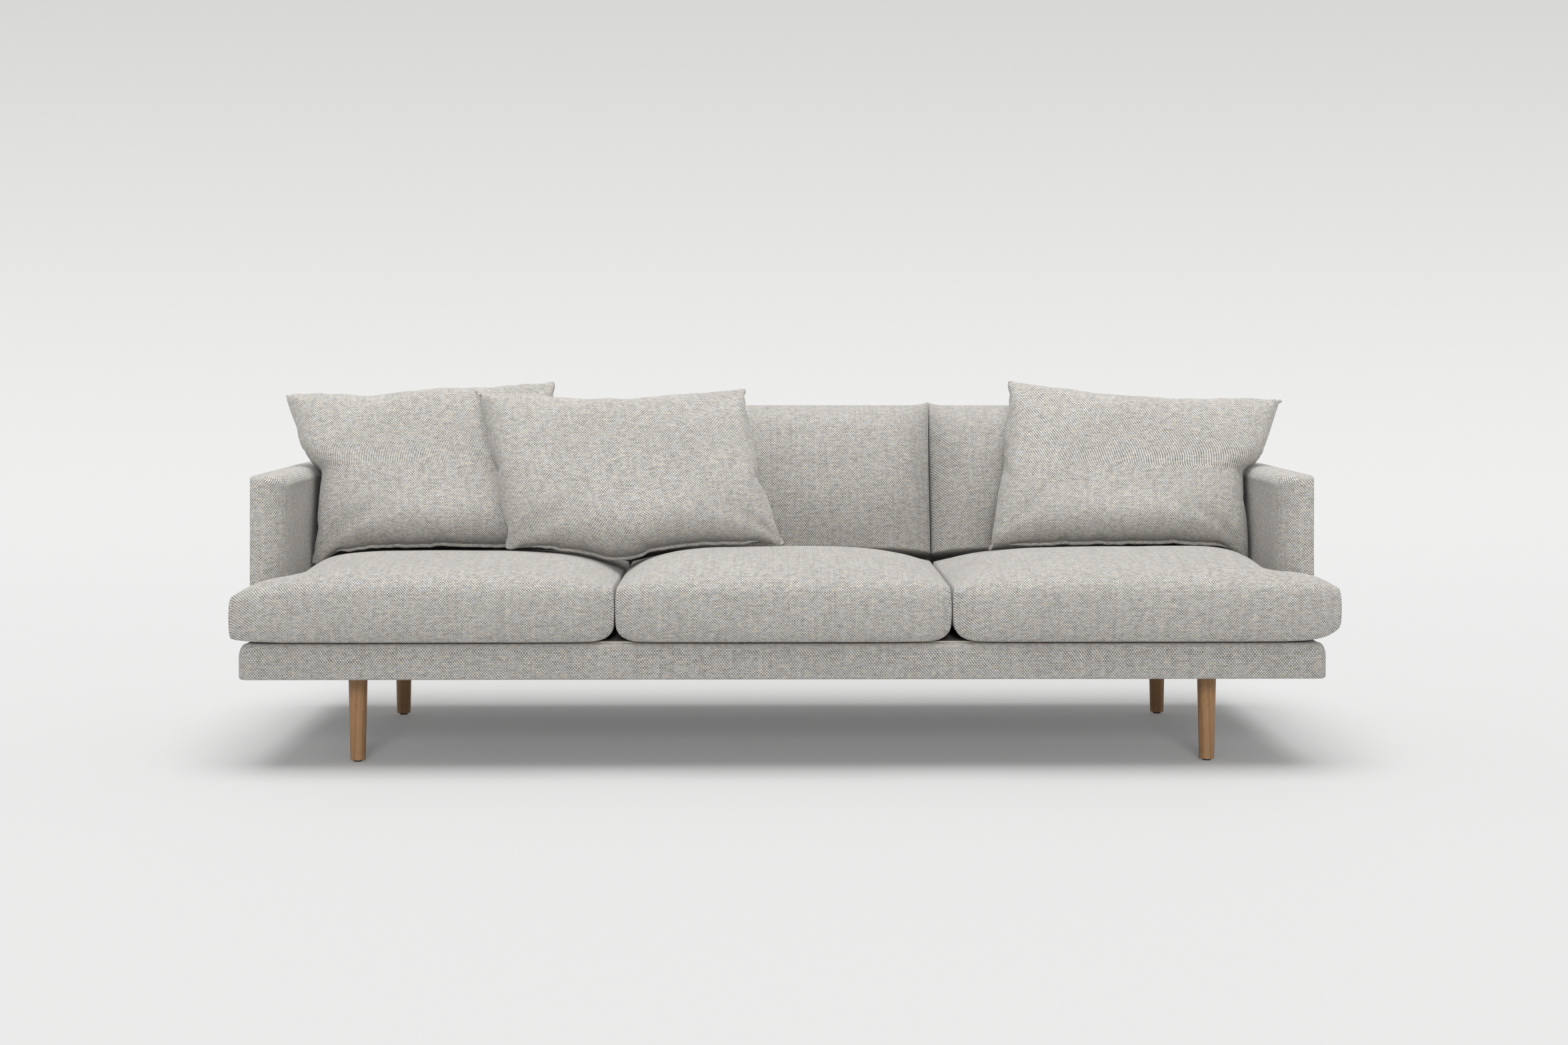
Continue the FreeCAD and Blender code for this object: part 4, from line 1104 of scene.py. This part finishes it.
class SOFA_OT_finishes(bpy.types.Operator):
    """Make the finishes and put them on the frame's own parts"""
    bl_idname = "sofa.finishes"
    bl_label = "Finishes"

    def execute(self, context):
        cloth, oak = context.scene.sofa_cloth, context.scene.sofa_oak
        tweed_finish("tweed", cloth)
        # A darker copy of the tweed is painted shade for the base under the seats'
        # overhang.
        tweed_finish("tweed_painted_shade", cloth, 0.92)
        # A lighter copy of the tweed is painted light for the arms and scatter cushions.
        tweed_finish("tweed_painted_light", cloth, 1.09)
        finishes = {
            "leg_wood": oak_finish("oiled_oak", oak),
            "frame_timber": timber_finish("sawn_timber", (0.60, 0.43, 0.26),
                                          (0.38, 0.23, 0.11)),
            "padding": foam_finish("foam"),
            "elastic_webbing": woven_finish("webbing", (0.05, 0.05, 0.055),
                                            (0.015, 0.015, 0.015), 0.003,
                                            stripe=(0.35, 0.33, 0.28)),
            "dust_cloth": woven_finish("dust_cloth", (0.035, 0.035, 0.037),
                                       (0.012, 0.012, 0.012), 0.0015),
            "deck_cloth": woven_finish("deck_cloth", (0.22, 0.215, 0.205),
                                       (0.10, 0.098, 0.095), 0.002),
            "zip_tape": woven_finish("zip_tape", (0.45, 0.44, 0.42),
                                     (0.25, 0.24, 0.23), 0.0012),
            "zinc_steel": zinc_finish("zinc_steel"),
            "glide_nylon": nylon_finish("glide_nylon"),
            "upholstery": foam_finish("cover_inside"),
        }
        for name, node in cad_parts.items():
            last_word = name.split("_")[-1]
            slot = SLOTS.get(name) or SLOTS.get(last_word, "frame_timber")
            node.data.materials.clear()
            node.data.materials.append(finishes[slot])
        return {"FINISHED"}


class SOFA_OT_base(bpy.types.Operator):
    """Make the upholstery of the base, the arms and the back"""
    bl_idname = "sofa.base"
    bl_label = "Base, arms and back"

    def execute(self, context):
        # The base wears the darker copy of the tweed, which is painted shade.
        base_piece("tweed_painted_shade")
        for hand, side in (("left", -1), ("right", 1)):
            # The arms wear the lighter copy of the tweed, which is painted light.
            arm_piece(hand, side, "tweed_painted_light")
        back_piece("tweed")
        return {"FINISHED"}


class SOFA_OT_seats(bpy.types.Operator):
    """Make the three seat cushions"""
    bl_idname = "sofa.seats"
    bl_label = "Seat cushions"

    def execute(self, context):
        for name in SEATS:
            made = seat_cover(name, context.scene.sofa_shape, "tweed")
            hand_over_cushion(made, name)
        return {"FINISHED"}


class SOFA_OT_backs(bpy.types.Operator):
    """Make the three back cushions"""
    bl_idname = "sofa.backs"
    bl_label = "Back cushions"

    def execute(self, context):
        for name in BACK_CUSHIONS:
            made = back_cover(name, context.scene.sofa_shape, "tweed")
            hand_over_cushion(made, name)
        return {"FINISHED"}


class SOFA_OT_scatters(bpy.types.Operator):
    """Make the three scatter cushions"""
    bl_idname = "sofa.scatters"
    bl_label = "Scatter cushions"

    def execute(self, context):
        for name in SCATTERS:
            # The scatters wear the lighter copy of the tweed, which is painted light.
            made, lip = scatter_cover(name, context.scene.sofa_shape, "tweed_painted_light")
            hand_over(lip, f"{name}_cushion")
            hand_over_cushion(made, name)
        return {"FINISHED"}


class SOFA_OT_studio(bpy.types.Operator):
    """Make the floor, the light and the camera"""
    bl_idname = "sofa.studio"
    bl_label = "Studio"

    def execute(self, context):
        scene = context.scene
        studio = scene.sofa_studio
        scene.view_settings.view_transform = "Standard"
        # The floor runs back, turns up in a broad curve and becomes the backdrop.
        bend, radius, reach = 4.5, 3.5, (-40, 0, 40)
        sweep = [(reach[0], 0.0), (bend, 0.0)]
        sweep += [(bend + radius * sine, radius - radius * cosine)
                  for sine, cosine in quarter(11, 1)]
        sweep.append((bend + radius, 12.0))
        cover = Cover()
        numbers = cover.grid([[(x, y, z) for x in reach] for y, z in sweep])
        cover.panel(numbers, [[(x, y + z) for x in reach] for y, z in sweep])
        f = Finish("studio_floor", Specular_IOR_Level=0.2, Emission_Strength=studio.glow)
        place = f.place()
        haze = f.cloud(place, 0.4)
        _, back, up = f.parts(place)
        rise = (back + up).step(3.0, 9.0)
        paint = f.mix(rise, studio.floor[:], studio.backdrop[:])
        f.set("Base Color", f.mix(haze * 0.03, paint, (0.5, 0.5, 0.5)))
        f.set("Emission Color", f.mix(haze * 0.03, (1.0, 1.0, 0.996), (0.9, 0.9, 0.9)))
        f.set("Roughness", 0.75 + haze * 0.1)
        cover.piece("studio_floor", f.material.name)
        world = bpy.data.worlds.new("studio_light")
        scene.world = world
        world.use_nodes = True
        fill = world.node_tree.nodes["Background"]
        fill.inputs["Color"].default_value = (1.0, 0.998, 0.992, 1)
        fill.inputs["Strength"].default_value = studio.fill
        for name, energy, spread, tilt in (("overhead", studio.overhead, 46, 5),
                                           ("front_fill", studio.front, 16, 68)):
            lamp = bpy.data.lights.new(name, "SUN")
            lamp.angle, lamp.energy = math.radians(spread), energy
            hung = bpy.data.objects.new(name, lamp)
            hung.rotation_euler = (math.radians(tilt), 0, 0)
            scene.collection.objects.link(hung)
        camera = bpy.data.objects.new("camera", bpy.data.cameras.new("camera"))
        scene.collection.objects.link(camera)
        camera.location = (-0.0448, -5.3814, 0.9655)
        camera.rotation_euler = (math.radians(90), 0, -0.00929)
        camera.data.lens = 50
        camera.data.sensor_width = 36
        camera.data.shift_y = -0.1135
        scene.camera = camera
        return {"FINISHED"}


class SOFA_PT_panel(bpy.types.Panel):
    """Lists the steps that build the sofa"""
    bl_idname = "SOFA_PT_panel"
    bl_label = "Sofa"
    bl_space_type = "VIEW_3D"
    bl_region_type = "UI"
    bl_category = "Sofa"

    def draw(self, context):
        for step in STEPS:
            self.layout.operator(step.bl_idname)


STEPS = (SOFA_OT_finishes, SOFA_OT_base, SOFA_OT_seats, SOFA_OT_backs,
         SOFA_OT_scatters, SOFA_OT_studio)
GROUPS = {"sofa_cloth": SofaCloth, "sofa_oak": SofaOak, "sofa_shape": SofaShape,
          "sofa_studio": SofaStudio}


def register():
    for kind in (*GROUPS.values(), *STEPS, SOFA_PT_panel):
        bpy.utils.register_class(kind)
    for name, kind in GROUPS.items():
        setattr(bpy.types.Scene, name, PointerProperty(type=kind))


def unregister():
    for name in GROUPS:
        delattr(bpy.types.Scene, name)
    for kind in (SOFA_PT_panel, *reversed(STEPS), *GROUPS.values()):
        bpy.utils.unregister_class(kind)


def main():
    register()
    for step in STEPS:
        family, action = step.bl_idname.split(".")
        getattr(getattr(bpy.ops, family), action)()


if __name__ == "__main__":
    main()
